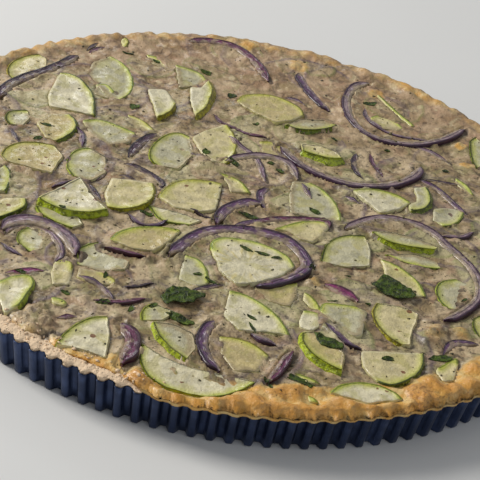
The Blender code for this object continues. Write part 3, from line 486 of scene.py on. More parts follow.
class Paint:
    """A material and the nodes that give it its looks, with the colour laid so far."""

    def __init__(self, name: str) -> None:
        """Makes an empty material with one shader."""
        self.material = bpy.data.materials.new(name)
        self.material.use_nodes = True
        self.tree = self.material.node_tree
        self.tree.nodes.clear()
        self.shader = self.node("ShaderNodeBsdfPrincipled")
        self.node("ShaderNodeOutputMaterial", {}, {"Surface": self.shader.outputs[0]})
        coordinates = self.node("ShaderNodeTexCoord").outputs["Object"]
        self.place = self.vector("SCALE", coordinates, Scale=1.0 / MM)
        self.colour: object = (0.5, 0.5, 0.5)

    def node(self, kind: str, settings: dict | None = None, sockets: dict | None = None) -> bpy.types.Node:
        """Adds a node, sets it and feeds its sockets.

        Args:
            kind: The node's type.
            settings: Its properties.
            sockets: Values or links of its inputs, by name or number.

        Returns:
            The new node.
        """
        made = self.tree.nodes.new(kind)
        for key, setting in (settings or {}).items():
            setattr(made, key, setting)
        for key, value in (sockets or {}).items():
            self.feed(made.inputs[key], value)
        return made

    def feed(self, socket: Socket, value: object) -> None:
        """Links a socket to a value, or sets it."""
        if isinstance(value, Value):
            value = value.socket
        if isinstance(value, Socket):
            self.tree.links.new(value, socket)
        elif isinstance(value, tuple) and len(value) == 3 and socket.type == "RGBA":
            socket.default_value = (*value, 1.0)
        else:
            socket.default_value = value

    def vector(self, operation: str, first: object, second: object = None, **more: object) -> Socket:
        """Adds a Vector Math node and returns its vector."""
        sockets = {0: first, **more}
        if second is not None:
            sockets[1] = second
        return self.node("ShaderNodeVectorMath", {"operation": operation}, sockets).outputs[0]

    def mark(self, name: str) -> Value:
        """A number kept on the mesh's points."""
        return Value(self, self.node("ShaderNodeAttribute", {"attribute_name": name}).outputs["Fac"])

    def mark_colour(self, name: str) -> Socket:
        """A colour or vector kept on the mesh's points."""
        return self.node("ShaderNodeAttribute", {"attribute_name": name}).outputs["Color"]

    def noise(self, size: float, detail: float = 2.0, where: object = None, rough: float = 0.55) -> Value:
        """Cloudy noise from 0 to 1 whose patches have about the given size in millimetres."""
        sockets = {"Vector": where or self.place, "Scale": 1.0 / size, "Detail": detail, "Roughness": rough}
        return Value(self, self.node("ShaderNodeTexNoise", {}, sockets).outputs[0])

    def cells(self, size: float, where: object = None, feature: str = "F1") -> Value:
        """Distance to the nearest of points scattered at about the given size in millimetres."""
        sockets = {"Vector": where or self.place, "Scale": 1.0 / size}
        made = self.node("ShaderNodeTexVoronoi", {"feature": feature}, sockets)
        return Value(self, made.outputs["Distance"])

    def rise(self, value: object, low: float, high: float) -> Value:
        """A smooth step from 0 at low to 1 at high, either way round."""
        sockets = {"Value": value, "From Min": low, "From Max": high}
        made = self.node("ShaderNodeMapRange", {"interpolation_type": "SMOOTHSTEP"}, sockets)
        return Value(self, made.outputs[0])

    def mix(self, mask: object, first: object, second: object) -> Socket:
        """Goes from the first colour to the second by the mask."""
        settings = {"data_type": "RGBA", "clamp_factor": True}
        return self.node("ShaderNodeMix", settings, {0: mask, 6: first, 7: second}).outputs[2]

    def lay(self, mask: object, colour: object) -> None:
        """Lays a colour over the paint's own by the mask."""
        self.colour = self.mix(mask, self.colour, colour)

    def shade(self, colour: object, amount: object) -> Socket:
        """Multiplies a colour by a number."""
        return self.vector("SCALE", colour, Scale=amount)

    def bump(self, height: object, deep: float, under: object = None) -> Socket:
        """A bump whose height of 1 stands for the given depth in millimetres."""
        sockets = {"Height": height, "Distance": deep * MM, "Strength": 1.0}
        if under is not None:
            sockets["Normal"] = under
        return self.node("ShaderNodeBump", {}, sockets).outputs[0]

    def finish(self, rough: object, normal: object = None, **constants: object) -> Material:
        """Feeds the shader with the paint's colour and the rest, and returns the material.

        Args:
            rough: Roughness, a value or a link.
            normal: Link to the normal, if there is one.
            constants: Other sockets of the shader, with _ for a space.

        Returns:
            The finished material.
        """
        self.feed(self.shader.inputs["Base Color"], self.colour)
        self.feed(self.shader.inputs["Roughness"], rough)
        if normal is not None:
            self.feed(self.shader.inputs["Normal"], normal)
        for key, value in constants.items():
            self.shader.inputs[key.replace("_", " ")].default_value = value
        return self.material


@dataclass(frozen=True)
class TinFinish:
    """Dark blue-black non-stick coating with patches of painted reflection and fine specks."""

    coat: Colour = srgb(46, 57, 84)
    painted_reflection: Colour = srgb(84, 100, 140)
    speck: Colour = srgb(96, 104, 124)

    def material(self) -> Material:
        """Builds the material."""
        paint = Paint("tin_coating")
        cloud = paint.noise(9.0, 4.0)
        # Lighter blue patches: painted reflection on the coating
        paint.colour = paint.mix(paint.rise(cloud, 0.42, 0.72) * 0.5, self.coat, self.painted_reflection)
        dots = paint.rise(paint.cells(1.5), 0.16, 0.06) * paint.rise(paint.noise(7.0), 0.5, 0.62)
        paint.lay(dots * 0.7, self.speck)
        grain = paint.noise(0.5, 3.0)
        rough = 0.24 + 0.2 * paint.noise(3.0, 3.0)
        normal = paint.bump(grain, 0.05)
        return paint.finish(rough, normal, Metallic=0.85, Coat_Weight=0.06, Coat_Roughness=0.22)


@dataclass(frozen=True)
class PastryFinish:
    """Shortcrust, pale where it was sheltered and tan where it browned, with painted shade in its crumb."""

    pale: Colour = srgb(236, 208, 174)
    tan: Colour = srgb(190, 140, 84)
    dark: Colour = srgb(104, 76, 44)

    def material(self) -> Material:
        """Builds the material."""
        paint = Paint("pastry")
        brown = paint.mark("brown")
        cloud = paint.noise(5.0, 4.0)
        mask = paint.rise(brown + cloud * 0.8, 0.55, 1.25)
        paint.colour = paint.mix(mask, self.pale, self.tan)
        paint.lay(paint.rise(brown + paint.noise(1.6, 3.0), 1.0, 1.55) * 0.8, self.dark)
        crumb = paint.noise(0.9, 4.0, rough=0.7)
        # Painted shade: darker where the crumb bump is low, lighter where it is high
        paint.colour = paint.shade(paint.colour, 0.8 + 0.36 * crumb)
        pits = paint.rise(paint.cells(1.1), 0.05, 0.5)
        normal = paint.bump(crumb + pits * 0.8, 0.35)
        return paint.finish(0.78 - 0.25 * mask, normal)


@dataclass(frozen=True)
class CustardFinish:
    """Baked egg and cream custard over buried toppings, mottled, golden and glossy at the rim, with painted
    shadow and sheen.
    """

    base: Colour = srgb(150, 128, 90)
    light: Colour = srgb(190, 168, 132)
    deep: Colour = srgb(90, 70, 48)
    cream: Colour = srgb(206, 188, 148)
    olive: Colour = srgb(134, 130, 76)
    rosy: Colour = srgb(170, 130, 100)
    green: Colour = srgb(186, 180, 134)
    rind: Colour = srgb(112, 122, 40)
    onion: Colour = srgb(104, 86, 96)
    # Dark brown for random smears and for painted shadow
    smear_and_shadow: Colour = srgb(58, 42, 34)
    tan: Colour = srgb(214, 164, 80)
    gold: Colour = srgb(218, 186, 120)
    toast: Colour = srgb(202, 138, 56)
    char: Colour = srgb(112, 66, 30)
    herb: Colour = srgb(62, 54, 34)

    def material(self) -> Material:
        """Builds the material."""
        paint = Paint("custard")
        brown = paint.mark("brown")
        height = paint.mark("bulge")
        shifted = paint.vector("ADD", paint.place, (91.0, 17.0, 0.0))
        turned = paint.vector("ADD", paint.place, (-53.0, 71.0, 0.0))
        busy = 1 - 0.65 * paint.mark("back")
        clouds = paint.noise(15.0, 3.0)
        curd = paint.noise(4.6, 3.0)
        paint.colour = paint.mix(paint.rise(clouds, 0.42, 0.58), self.base, self.light)
        paint.lay(paint.rise(paint.noise(10.0, 2.0, shifted), 0.52, 0.64) * 0.55, self.olive)
        paint.lay(paint.rise(paint.noise(9.0, 2.0, turned), 0.52, 0.66) * 0.45, self.rosy)
        paint.lay(paint.mark("back") * 0.4, self.rosy)
        paint.lay(paint.rise(curd, 0.47, 0.34) * 0.7 * busy, self.deep)
        # Pale cream streaks: painted wet sheen on the custard
        cream = paint.rise(paint.noise(6.0, 3.0, turned), 0.56, 0.68)
        paint.lay(cream * 0.7, self.cream)
        film = 0.55 + 0.6 * paint.noise(4.0, 3.0, turned)
        paint.lay(paint.mark("under_slice") * film * busy, self.green)
        paint.lay(paint.mark("under_onion") * film, self.onion)
        paint.lay(paint.mark("under_rind") * film, self.rind)
        smudge = paint.rise(paint.noise(4.6, 3.0, shifted), 0.58, 0.68) * (1 - 0.7 * brown) * busy
        paint.lay(smudge * 0.65, self.smear_and_shadow)
        # Thin dark lines where a slow noise crosses its middle, in the darker clouds and away from the
        # browning
        fold = paint.noise(11.0, 2.0, shifted) - 0.5
        thin_dark_lines = paint.rise(fold * fold, 0.0012, 0.0001) * paint.rise(clouds, 0.6, 0.45) * (1 - brown)
        paint.lay(thin_dark_lines * 0.45, self.smear_and_shadow)
        mask = paint.rise(brown + 0.5 * curd + 0.35 * clouds, 0.72, 1.2)
        crest = paint.mix(paint.rise(paint.noise(5.0, 3.0, shifted), 0.42, 0.6), self.tan, self.gold)
        paint.lay(mask, crest)
        toasted = paint.rise(brown * 0.7 + 0.45 * height + 0.6 * paint.noise(4.6, 3.0, turned), 1.0, 1.5)
        paint.lay(toasted * 0.7, self.toast)
        paint.lay(paint.rise(brown + paint.noise(1.4, 2.0), 1.56, 1.75) * 0.5, self.char)
        # Painted shadow: the gap mark darkens the custard beside the toppings, most on the side away from the
        # light, and in the hollows
        gap = paint.rise(paint.mark("gap") + 0.5 * (curd - 0.5), 0.3, 0.8)
        paint.lay(gap * 0.75, self.smear_and_shadow)
        dust = paint.rise(paint.cells(1.5), 0.24, 0.12) * paint.rise(paint.noise(8.0), 0.42, 0.56)
        coarse = paint.rise(paint.cells(2.6, turned), 0.2, 0.1)
        dust = dust.most(coarse * paint.rise(paint.noise(11.0), 0.4, 0.55))
        paint.lay(dust * 0.8 * (1 - 0.7 * brown) * busy, self.herb)
        grain = paint.noise(0.9, 2.0, rough=0.5)
        paint.colour = paint.shade(paint.colour, 0.86 + 0.28 * grain)
        normal = paint.bump(curd * 2.0 + grain * 0.15, 0.7)
        rough = 0.4 - 0.06 * mask + 0.2 * clouds
        return paint.finish(rough, normal, Coat_Weight=0.26, Coat_Roughness=0.2)


@dataclass(frozen=True)
class ZucchiniFinish:
    """Baked zucchini: wet flesh with seed marks and painted wet sheen, green rim and speckled rind."""

    film: Colour = srgb(160, 142, 104)
    under_rind: Colour = srgb(202, 204, 84)
    fleck: Colour = srgb(206, 214, 90)
    char: Colour = srgb(116, 66, 28)
    seed: Colour = srgb(206, 188, 112)
    glassy: Colour = srgb(176, 168, 92)
    # Newly cut flesh, and the colour of the painted wet sheen
    fresh_and_sheen: Colour = srgb(232, 226, 196)

    def material(self) -> Material:
        """Builds the material."""
        paint = Paint("zucchini")
        flesh = paint.mark_colour("flesh")
        peel = paint.mark_colour("peel")
        skin = paint.mark("skin_mm")
        cloud = paint.noise(5.0, 3.0)
        blotch = paint.noise(2.4, 3.0, rough=0.6)
        paint.colour = paint.shade(flesh, 0.86 + 0.3 * paint.rise(cloud, 0.36, 0.62))
        paint.lay(paint.rise(blotch, 0.48, 0.36) * 0.3, paint.shade(flesh, 0.72))
        paint.lay(paint.rise(paint.noise(7.0, 2.0), 0.48, 0.6) * 0.5, self.glassy)
        polar = paint.mark_colour("polar")
        fibre = paint.noise(2.2, 3.0, polar)
        ring = paint.mark("core")
        paint.lay(paint.rise(fibre, 0.5, 0.66) * ring * 0.6, self.seed)
        paint.lay(paint.rise(fibre, 0.46, 0.36) * ring * 0.35, paint.shade(flesh, 0.7))
        cut = paint.rise(paint.mark("cut_mm") + 2.0 * (blotch - 0.5), 1.4, 0.3)
        paint.lay(cut * 0.3, self.fresh_and_sheen)
        # Whitish streaky patches: painted wet sheen on the flesh
        aside = paint.vector("ADD", paint.place, (19.0, 7.0, 0.0))
        paint.lay(paint.rise(paint.noise(2.6, 4.0, aside, 0.6), 0.58, 0.7) * 0.25, self.fresh_and_sheen)
        edge = skin + 1.3 * (paint.noise(2.2, 3.0) - 0.5) + 3.0 * (paint.noise(9.0, 1.0) - 0.5)
        paint.lay(paint.rise(edge, 4.6, 1.0) * 0.55, self.under_rind)
        paint.lay(paint.rise(edge, 2.0, 1.0) * 0.7, paint.mix(0.5, self.under_rind, peel))
        paint.lay(paint.rise(skin + 1.4 * (paint.noise(5.0, 3.0) - 0.5), 1.1, 0.6), paint.shade(peel, 0.5))
        rind = paint.mark("rind")
        speckle = paint.rise(paint.cells(1.25), 0.38, 0.2)
        bark = paint.shade(peel, 0.5 + 1.1 * paint.rise(paint.noise(2.2, 3.0), 0.36, 0.62))
        bark = paint.mix(speckle * 0.6, bark, self.fleck)
        paint.lay(rind, bark)
        veil = paint.mark("veil")
        film = paint.rise(veil + 0.9 * (paint.noise(4.5, 4.0, rough=0.6) - 0.5), 0.36, 0.7)
        paint.lay(film * 0.75 * (1 - 0.6 * rind), paint.shade(self.film, 0.78 + 0.4 * blotch))
        burn = paint.rise(paint.mark("char") + 0.5 * (paint.noise(0.9, 2.0) - 0.5), 0.4, 0.62)
        paint.lay(burn * 0.9, self.char)
        fleckle = paint.rise(paint.cells(1.9), 0.15, 0.07) * paint.rise(paint.noise(6.0), 0.46, 0.6)
        paint.lay(fleckle * 0.35 * (1 - rind), self.char)
        grain = paint.noise(0.8, 3.0)
        height = grain * 0.4 + blotch * 0.7 + fibre * ring * 0.6 + speckle * rind * 0.5
        normal = paint.bump(height + cloud * 1.2, 0.6)
        rough = 0.3 + 0.2 * film + 0.16 * grain
        return paint.finish(rough, normal, Coat_Weight=0.3, Coat_Roughness=0.1)


@dataclass(frozen=True)
class OnionFinish:
    """Baked red onion: thin dark outer edge, greyish glassy face with long streaks, painted highlights along
    them and custard on it.
    """

    painted_highlight: Colour = srgb(206, 194, 200)
    film: Colour = srgb(156, 138, 108)

    def material(self) -> Material:
        """Builds the material."""
        paint = Paint("red_onion")
        across = paint.mark("across")
        outer = paint.shade(paint.mark_colour("outer"), 0.7)
        grainline = paint.mark_colour("lengthwise")
        streak = paint.noise(0.8, 3.0, grainline)
        fine = paint.noise(0.35, 2.0, grainline)
        shift = across + 0.2 * (streak - 0.5)
        paint.colour = paint.mix(paint.rise(shift, 0.2, 0.34), outer, paint.mark_colour("face"))
        paint.lay(paint.rise(shift, 0.5, 0.85), paint.mark_colour("inner"))
        paint.lay(paint.rise(fine, 0.53, 0.62) * 0.55, outer)
        layer = paint.rise(shift, 0.5, 0.55) * paint.rise(shift, 0.62, 0.57)
        paint.lay(layer * 0.75, outer)
        # Painted highlights along the pale streaks of the face
        pale = paint.rise(streak, 0.55, 0.66) * paint.rise(across, 0.16, 0.4)
        paint.lay(pale * 0.6, self.painted_highlight)
        cover = paint.rise(paint.noise(4.2, 4.0, rough=0.6) + 0.3 * across, 0.66, 0.78)
        paint.lay(cover * 0.65, paint.shade(self.film, 0.7 + 0.6 * streak))
        paint.colour = paint.shade(paint.colour, 0.7 + 0.5 * paint.rise(paint.noise(3.0, 3.0), 0.35, 0.65))
        normal = paint.bump(streak * 0.8 + fine * 0.5, 0.5)
        return paint.finish(0.3 + 0.22 * streak, normal, Coat_Weight=0.35, Coat_Roughness=0.14)


@dataclass(frozen=True)
class HerbFinish:
    """Dark green baked herb leaf with paler veins."""

    green: Colour = srgb(70, 92, 16)
    dark: Colour = srgb(24, 38, 4)
    vein: Colour = srgb(120, 134, 40)

    def material(self) -> Material:
        """Builds the material."""
        paint = Paint("herb_leaf")
        cloud = paint.noise(2.2, 3.0)
        paint.colour = paint.mix(paint.rise(cloud, 0.4, 0.66), self.dark, self.green)
        veins = paint.rise(paint.cells(2.0, None, "DISTANCE_TO_EDGE"), 0.09, 0.02)
        paint.lay(veins * 0.3, self.vein)
        normal = paint.bump(cloud + veins * 0.5, 0.4)
        return paint.finish(0.3 + 0.3 * cloud, normal, Specular_IOR_Level=0.35)


@dataclass(frozen=True)
class FleckFinish:
    """Dried herb dust and pepper: one dark colour with a light variation."""

    name: str
    dark: Colour
    light: Colour

    def material(self) -> Material:
        """Builds the material."""
        paint = Paint(self.name)
        cloud = paint.noise(5.0, 3.0)
        paint.colour = paint.mix(paint.rise(cloud, 0.35, 0.65), self.dark, self.light)
        return paint.finish(0.6, paint.bump(paint.noise(0.5), 0.1))


class Unevenness:
    """Repeatable smooth noise over the plan of the tart."""

    def __init__(self, seed: int) -> None:
        """Draws the lattice of values."""
        self.lattice = np.random.default_rng(seed).uniform(-1.0, 1.0, (64, 64))

    def smooth(self, x: Array, y: Array, size: float) -> Array:
        """Values from -1 to 1 that change over about the given size in millimetres."""
        u, v = np.asarray(x) / size, np.asarray(y) / size
        i, j = np.floor(u).astype(int), np.floor(v).astype(int)
        f, g = u - i, v - j
        f, g = f * f * (3 - 2 * f), g * g * (3 - 2 * g)
        table = self.lattice
        low = table[i % 64, j % 64] * (1 - f) + table[(i + 1) % 64, j % 64] * f
        high = table[i % 64, (j + 1) % 64] * (1 - f) + table[(i + 1) % 64, (j + 1) % 64] * f
        return low * (1 - g) + high * g

    def rough(self, x: Array, y: Array, size: float, octaves: int = 3) -> Array:
        """The same with finer layers on it."""
        total = np.zeros_like(np.asarray(x, float))
        weight = 1.0
        for octave in range(octaves):
            total = total + weight * self.smooth(np.asarray(x) + 37.0 * octave, y, size / 2 ** octave)
            weight *= 0.5
        return total / 1.75

    def domes(self, x: Array, y: Array, pitch: float, radius: float) -> Array:
        """Round domes of height 0 to 1 at jittered places.

        Args:
            x: Plan positions.
            y: Plan positions.
            pitch: Mean distance between the domes.
            radius: Mean radius of a dome.

        Returns:
            The height of the highest dome at each place.
        """
        i, j = np.floor(x / pitch).astype(int), np.floor(y / pitch).astype(int)
        best = np.zeros_like(x)
        table = self.lattice
        for di in (-1, 0, 1):
            for dj in (-1, 0, 1):
                a, b = i + di, j + dj
                cx = (a + 0.5 + 0.42 * table[(3 * a + b) % 64, (a + 5 * b) % 64]) * pitch
                cy = (b + 0.5 + 0.42 * table[(a + 7 * b) % 64, (5 * a + b) % 64]) * pitch
                wide = radius * (1 + 0.35 * table[(2 * a + 3 * b) % 64, (a + 11 * b) % 64])
                far = ((x - cx) ** 2 + (y - cy) ** 2) / wide ** 2
                best = np.maximum(best, np.sqrt(np.clip(1 - far, 0, 1)))
        return best


UNEVEN = Unevenness(11)
waves, crags, domes = UNEVEN.smooth, UNEVEN.rough, UNEVEN.domes


def step(value: Array, low: float, high: float) -> Array:
    """A smooth step from 0 at low to 1 at high, either way round."""
    share = np.clip((np.asarray(value, float) - low) / (high - low), 0.0, 1.0)
    return share * share * (3 - 2 * share)


def placed(plan: Array, z: Array) -> Array:
    """Moves points read on the reading plane along the line of sight to their heights.

    Args:
        plan: Points on the reading plane, one row each.
        z: Their heights.

    Returns:
        The places in plan at those heights.
    """
    eye = np.array(EYE[:2])
    share = (EYE[2] - np.asarray(z)) / (EYE[2] - READ_PLANE)
    return eye + (np.asarray(plan, float) - eye) * np.reshape(share, (-1, 1))


def lengths_along(line: Array) -> Array:
    """How far along a line each of its corners is."""
    return np.concatenate([[0], np.cumsum(np.linalg.norm(np.diff(line, axis=0), axis=1))])


def at_length(wanted: Array, lengths: Array, values: Array) -> Array:
    """Two values kept on a line's corners, read off at given lengths along it."""
    return np.column_stack([np.interp(wanted, lengths, values[:, k]) for k in (0, 1)])


def around(radius: Array | float, angle: Array, *heights: Array) -> Array:
    """Places in plan by radius and direction, with their heights where these are given."""
    return np.column_stack([radius * np.cos(angle), radius * np.sin(angle), *heights])


def curve_through(points: Points2, spacing: float) -> Array:
    """A smooth open curve through points, as evenly spaced samples.

    Args:
        points: The points it goes through.
        spacing: Distance between samples.

    Returns:
        The samples, one row each, with both ends.
    """
    given = np.array(points, float)
    if len(given) == 2:
        count = max(2, int(round(np.linalg.norm(given[1] - given[0]) / spacing)) + 1)
        return np.linspace(given[0], given[1], count)
    ends = np.vstack([2 * given[0] - given[1], given, 2 * given[-1] - given[-2]])
    samples = []
    for k in range(1, len(ends) - 2):
        p0, p1, p2, p3 = ends[k - 1], ends[k], ends[k + 1], ends[k + 2]
        for t in np.linspace(0, 1, 12, endpoint=False):
            samples.append(0.5 * (2 * p1 + (p2 - p0) * t + (2 * p0 - 5 * p1 + 4 * p2 - p3) * t * t
                                  + (3 * p1 - p0 - 3 * p2 + p3) * t ** 3))
    samples.append(given[-1])
    line = np.array(samples)
    along = lengths_along(line)
    count = max(3, int(round(along[-1] / spacing)) + 1)
    return at_length(np.linspace(0, along[-1], count), along, line)


def distance_to(points: Array, line: Array) -> tuple[Array, Array]:
    """Distance from points to an open line.

    Args:
        points: Plan positions, one row each.
        line: The line's corners, one row each.

    Returns:
        The distances, and how far along the line the nearest place is.
    """
    a, b = line[:-1], line[1:]
    run = b - a
    length = np.linalg.norm(run, axis=1)
    start = np.concatenate([[0], np.cumsum(length)])[:-1]
    offset = points[:, None, :] - a[None]
    share = np.clip((offset * run[None]).sum(2) / np.maximum(length ** 2, 1e-9)[None], 0, 1)
    away = np.linalg.norm(offset - share[..., None] * run[None], axis=2)
    nearest = away.argmin(1)
    rows = np.arange(len(points))
    return away[rows, nearest], start[nearest] + share[rows, nearest] * length[nearest]


def inside(points: Array, outline: Array) -> Array:
    """Whether each plan position is inside a closed outline."""
    x, y = points[:, 0][:, None], points[:, 1][:, None]
    ax, ay = outline[:, 0][None], outline[:, 1][None]
    bx, by = np.roll(outline[:, 0], -1)[None], np.roll(outline[:, 1], -1)[None]
    spans = (ay > y) != (by > y)
    with np.errstate(divide="ignore", invalid="ignore"):
        crossing = ax + (y - ay) * (bx - ax) / (by - ay)
    return ((spans & (x < crossing)).sum(1) % 2) == 1


def outward_normals(outline: Array) -> Array:
    """Unit vectors that point out of a closed outline at its corners."""
    ahead = np.roll(outline, -1, axis=0) - np.roll(outline, 1, axis=0)
    following = np.roll(outline, -1, axis=0)
    area = (outline[:, 0] * following[:, 1] - following[:, 0] * outline[:, 1]).sum()
    normals = np.column_stack([ahead[:, 1], -ahead[:, 0]]) * (1 if area > 0 else -1)
    return normals / np.maximum(np.linalg.norm(normals, axis=1), 1e-9)[:, None]


def filled(boundary: Array, spacing: float) -> tuple[Array, Faces]:
    """Fills a closed outline with fine triangles.

    Args:
        boundary: The outline's corners, which come first among the points.
        spacing: Mesh size inside.

    Returns:
        Plan positions and triangles.
    """
    low, high = boundary.min(0), boundary.max(0)
    rows = np.arange(low[1] + spacing / 2, high[1], spacing * 0.87)
    grid = []
    for k, y in enumerate(rows):
        for x in np.arange(low[0] + (spacing / 2 if k % 2 else 0), high[0], spacing):
            grid.append((x, y))
    grid = np.array(grid).reshape(-1, 2)
    closed = np.vstack([boundary, boundary[:1]])
    keep = inside(grid, boundary)
    grid = grid[keep]
    if len(grid):
        grid = grid[distance_to(grid, closed)[0] > spacing * 0.55]
    plan = np.vstack([boundary, grid])
    count = len(boundary)
    edges = [(i, (i + 1) % count) for i in range(count)]
    corners = [Vector((float(x), float(y))) for x, y in plan]
    points, _, triangles, origin, _, _ = delaunay_2d_cdt(corners, edges, [], 1, 1e-5)
    back = [row[0] if row else -1 for row in origin]
    extra = [k for k, source in enumerate(back) if source < 0]
    for number, k in enumerate(extra):
        back[k] = len(plan) + number
    if extra:
        plan = np.vstack([plan, [tuple(points[k]) for k in extra]])
    return plan, [tuple(back[k] for k in triangle) for triangle in triangles]


@dataclass
class Shape:
    """Points in millimetres, faces, and numbers or colours kept on the points."""

    points: Array
    faces: Faces
    marks: dict[str, Array] = field(default_factory=dict)

    def piece(self, name: str, material: Material, slot: str, stands_for: Sequence[str] = ()
              ) -> bpy.types.Object:
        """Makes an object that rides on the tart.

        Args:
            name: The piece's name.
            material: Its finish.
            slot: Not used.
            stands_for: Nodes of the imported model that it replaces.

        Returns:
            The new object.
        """
        mesh = bpy.data.meshes.new(name)
        mesh.from_pydata((self.points * MM).tolist(), [], self.faces)
        mesh.polygons.foreach_set("use_smooth", [True] * len(mesh.polygons))
        for key, values in self.marks.items():
            if np.ndim(values) == 1:
                mesh.attributes.new(key, "FLOAT", "POINT").data.foreach_set(
                    "value", np.asarray(values, np.float32))
            else:
                coloured = np.ones((len(self.points), 4), np.float32)
                coloured[:, :3] = values
                mesh.attributes.new(key, "FLOAT_COLOR", "POINT").data.foreach_set("color", coloured.ravel())
        mesh.materials.append(material)
        mesh.validate()
        mesh.update()
        made = put(name, mesh)
        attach(made, "root")
        if stands_for:
            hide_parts(*stands_for)
        LOG.info("%s: %d points, %d faces", name, len(self.points), len(self.faces))
        return made


def put(name: str, data: bpy.types.ID) -> bpy.types.Object:
    """Adds an object to the scene."""
    made = bpy.data.objects.new(name, data)
    bpy.context.scene.collection.objects.link(made)
    return made


def joined(shapes: Sequence[Shape]) -> Shape:
    """Puts several shapes together, with the marks that all of them have."""
    offset = 0
    faces: Faces = []
    for shape in shapes:
        faces += [tuple(k + offset for k in face) for face in shape.faces]
        offset += len(shape.points)
    common = [key for key in shapes[0].marks if all(key in shape.marks for shape in shapes)]
    marks = {key: np.concatenate([shape.marks[key] for shape in shapes]) for key in common}
    return Shape(np.vstack([shape.points for shape in shapes]), faces, marks)


def bands(rings: Sequence[Array], start: int = 0) -> Faces:
    """Quads between closed rings of equal length."""
    count = len(rings[0])
    faces = []
    for level in range(len(rings) - 1):
        for i in range(count):
            j = (i + 1) % count
            a = start + level * count
            faces.append((a + i, a + j, a + count + j, a + count + i))
    return faces


def tube(rings: Sequence[Array]) -> Faces:
    """Quads between closed rings, with a face at each end."""
    count = len(rings[0])
    last = (len(rings) - 1) * count
    return bands(rings) + [tuple(last + i for i in range(count)), tuple(reversed(range(count)))]


def flute_crest(angle: Array) -> Array:
    """1 on a flute's crest and 0 in the valley between two, by direction."""
    share = (np.asarray(angle) - FLUTE_TURN) / (2 * np.pi) * FLUTES
    return step(np.cos(2 * np.pi * share), -0.7, 0.7)


def tin_wall(angle: Array, z: Array | float) -> Array:
    """Radius of the tin's outer face by direction and height."""
    return TIN_BASE_RADIUS + TIN_LEAN * np.minimum(z, TIN_HEIGHT) - FLUTE_DEPTH * (1 - flute_crest(angle))


def facing(angle: Array, middle: float, half: float, soft: float = 14.0) -> Array:
    """1 where a direction in degrees is within half of the middle, fading over soft degrees."""
    off = np.abs((np.degrees(angle) - middle + 180) % 360 - 180)
    return step(off, half + soft, half)


def open_side(angle: Array) -> Array:
    """1 at the directions where the custard leaves the pastry's edge bare."""
    return facing(angle, -128, 24, 9)


@dataclass
class Tin:
    """The pressed tin: fluted wall, rounded rim and flat base."""

    steps: int = 12
    finish: TinFinish = TinFinish()

    def ring(self, radius: float, z: float, depth: float = FLUTE_DEPTH) -> Array:
        """One fluted ring whose crests reach the radius."""
        total = FLUTES * self.steps
        angle = FLUTE_TURN + 2 * np.pi * np.arange(total) / total
        return around(radius - depth * (1 - flute_crest(angle)), angle, np.full(total, z))

    def build(self) -> None:
        """Builds the tin."""
        outside = [(0.0, -0.7), (0.25, -0.2), (0.9, 0.0), (4.0, 0.0), (8.0, 0.0), (12.0, 0.0), (15.3, 0.0),
                   (15.85, -0.1), (16.0, -0.35)]
        within = [(15.85, -0.7), (15.3, -0.8), (8.0, -0.8), (1.6, -0.85), (0.8, -1.6)]
        rings = [self.ring(TIN_BASE_RADIUS + TIN_LEAN * z + shift, z) for z, shift in outside + within]
        Shape(np.vstack(rings), tube(rings)).piece("tin_shell", self.finish.material(), "tin", ["tin"])


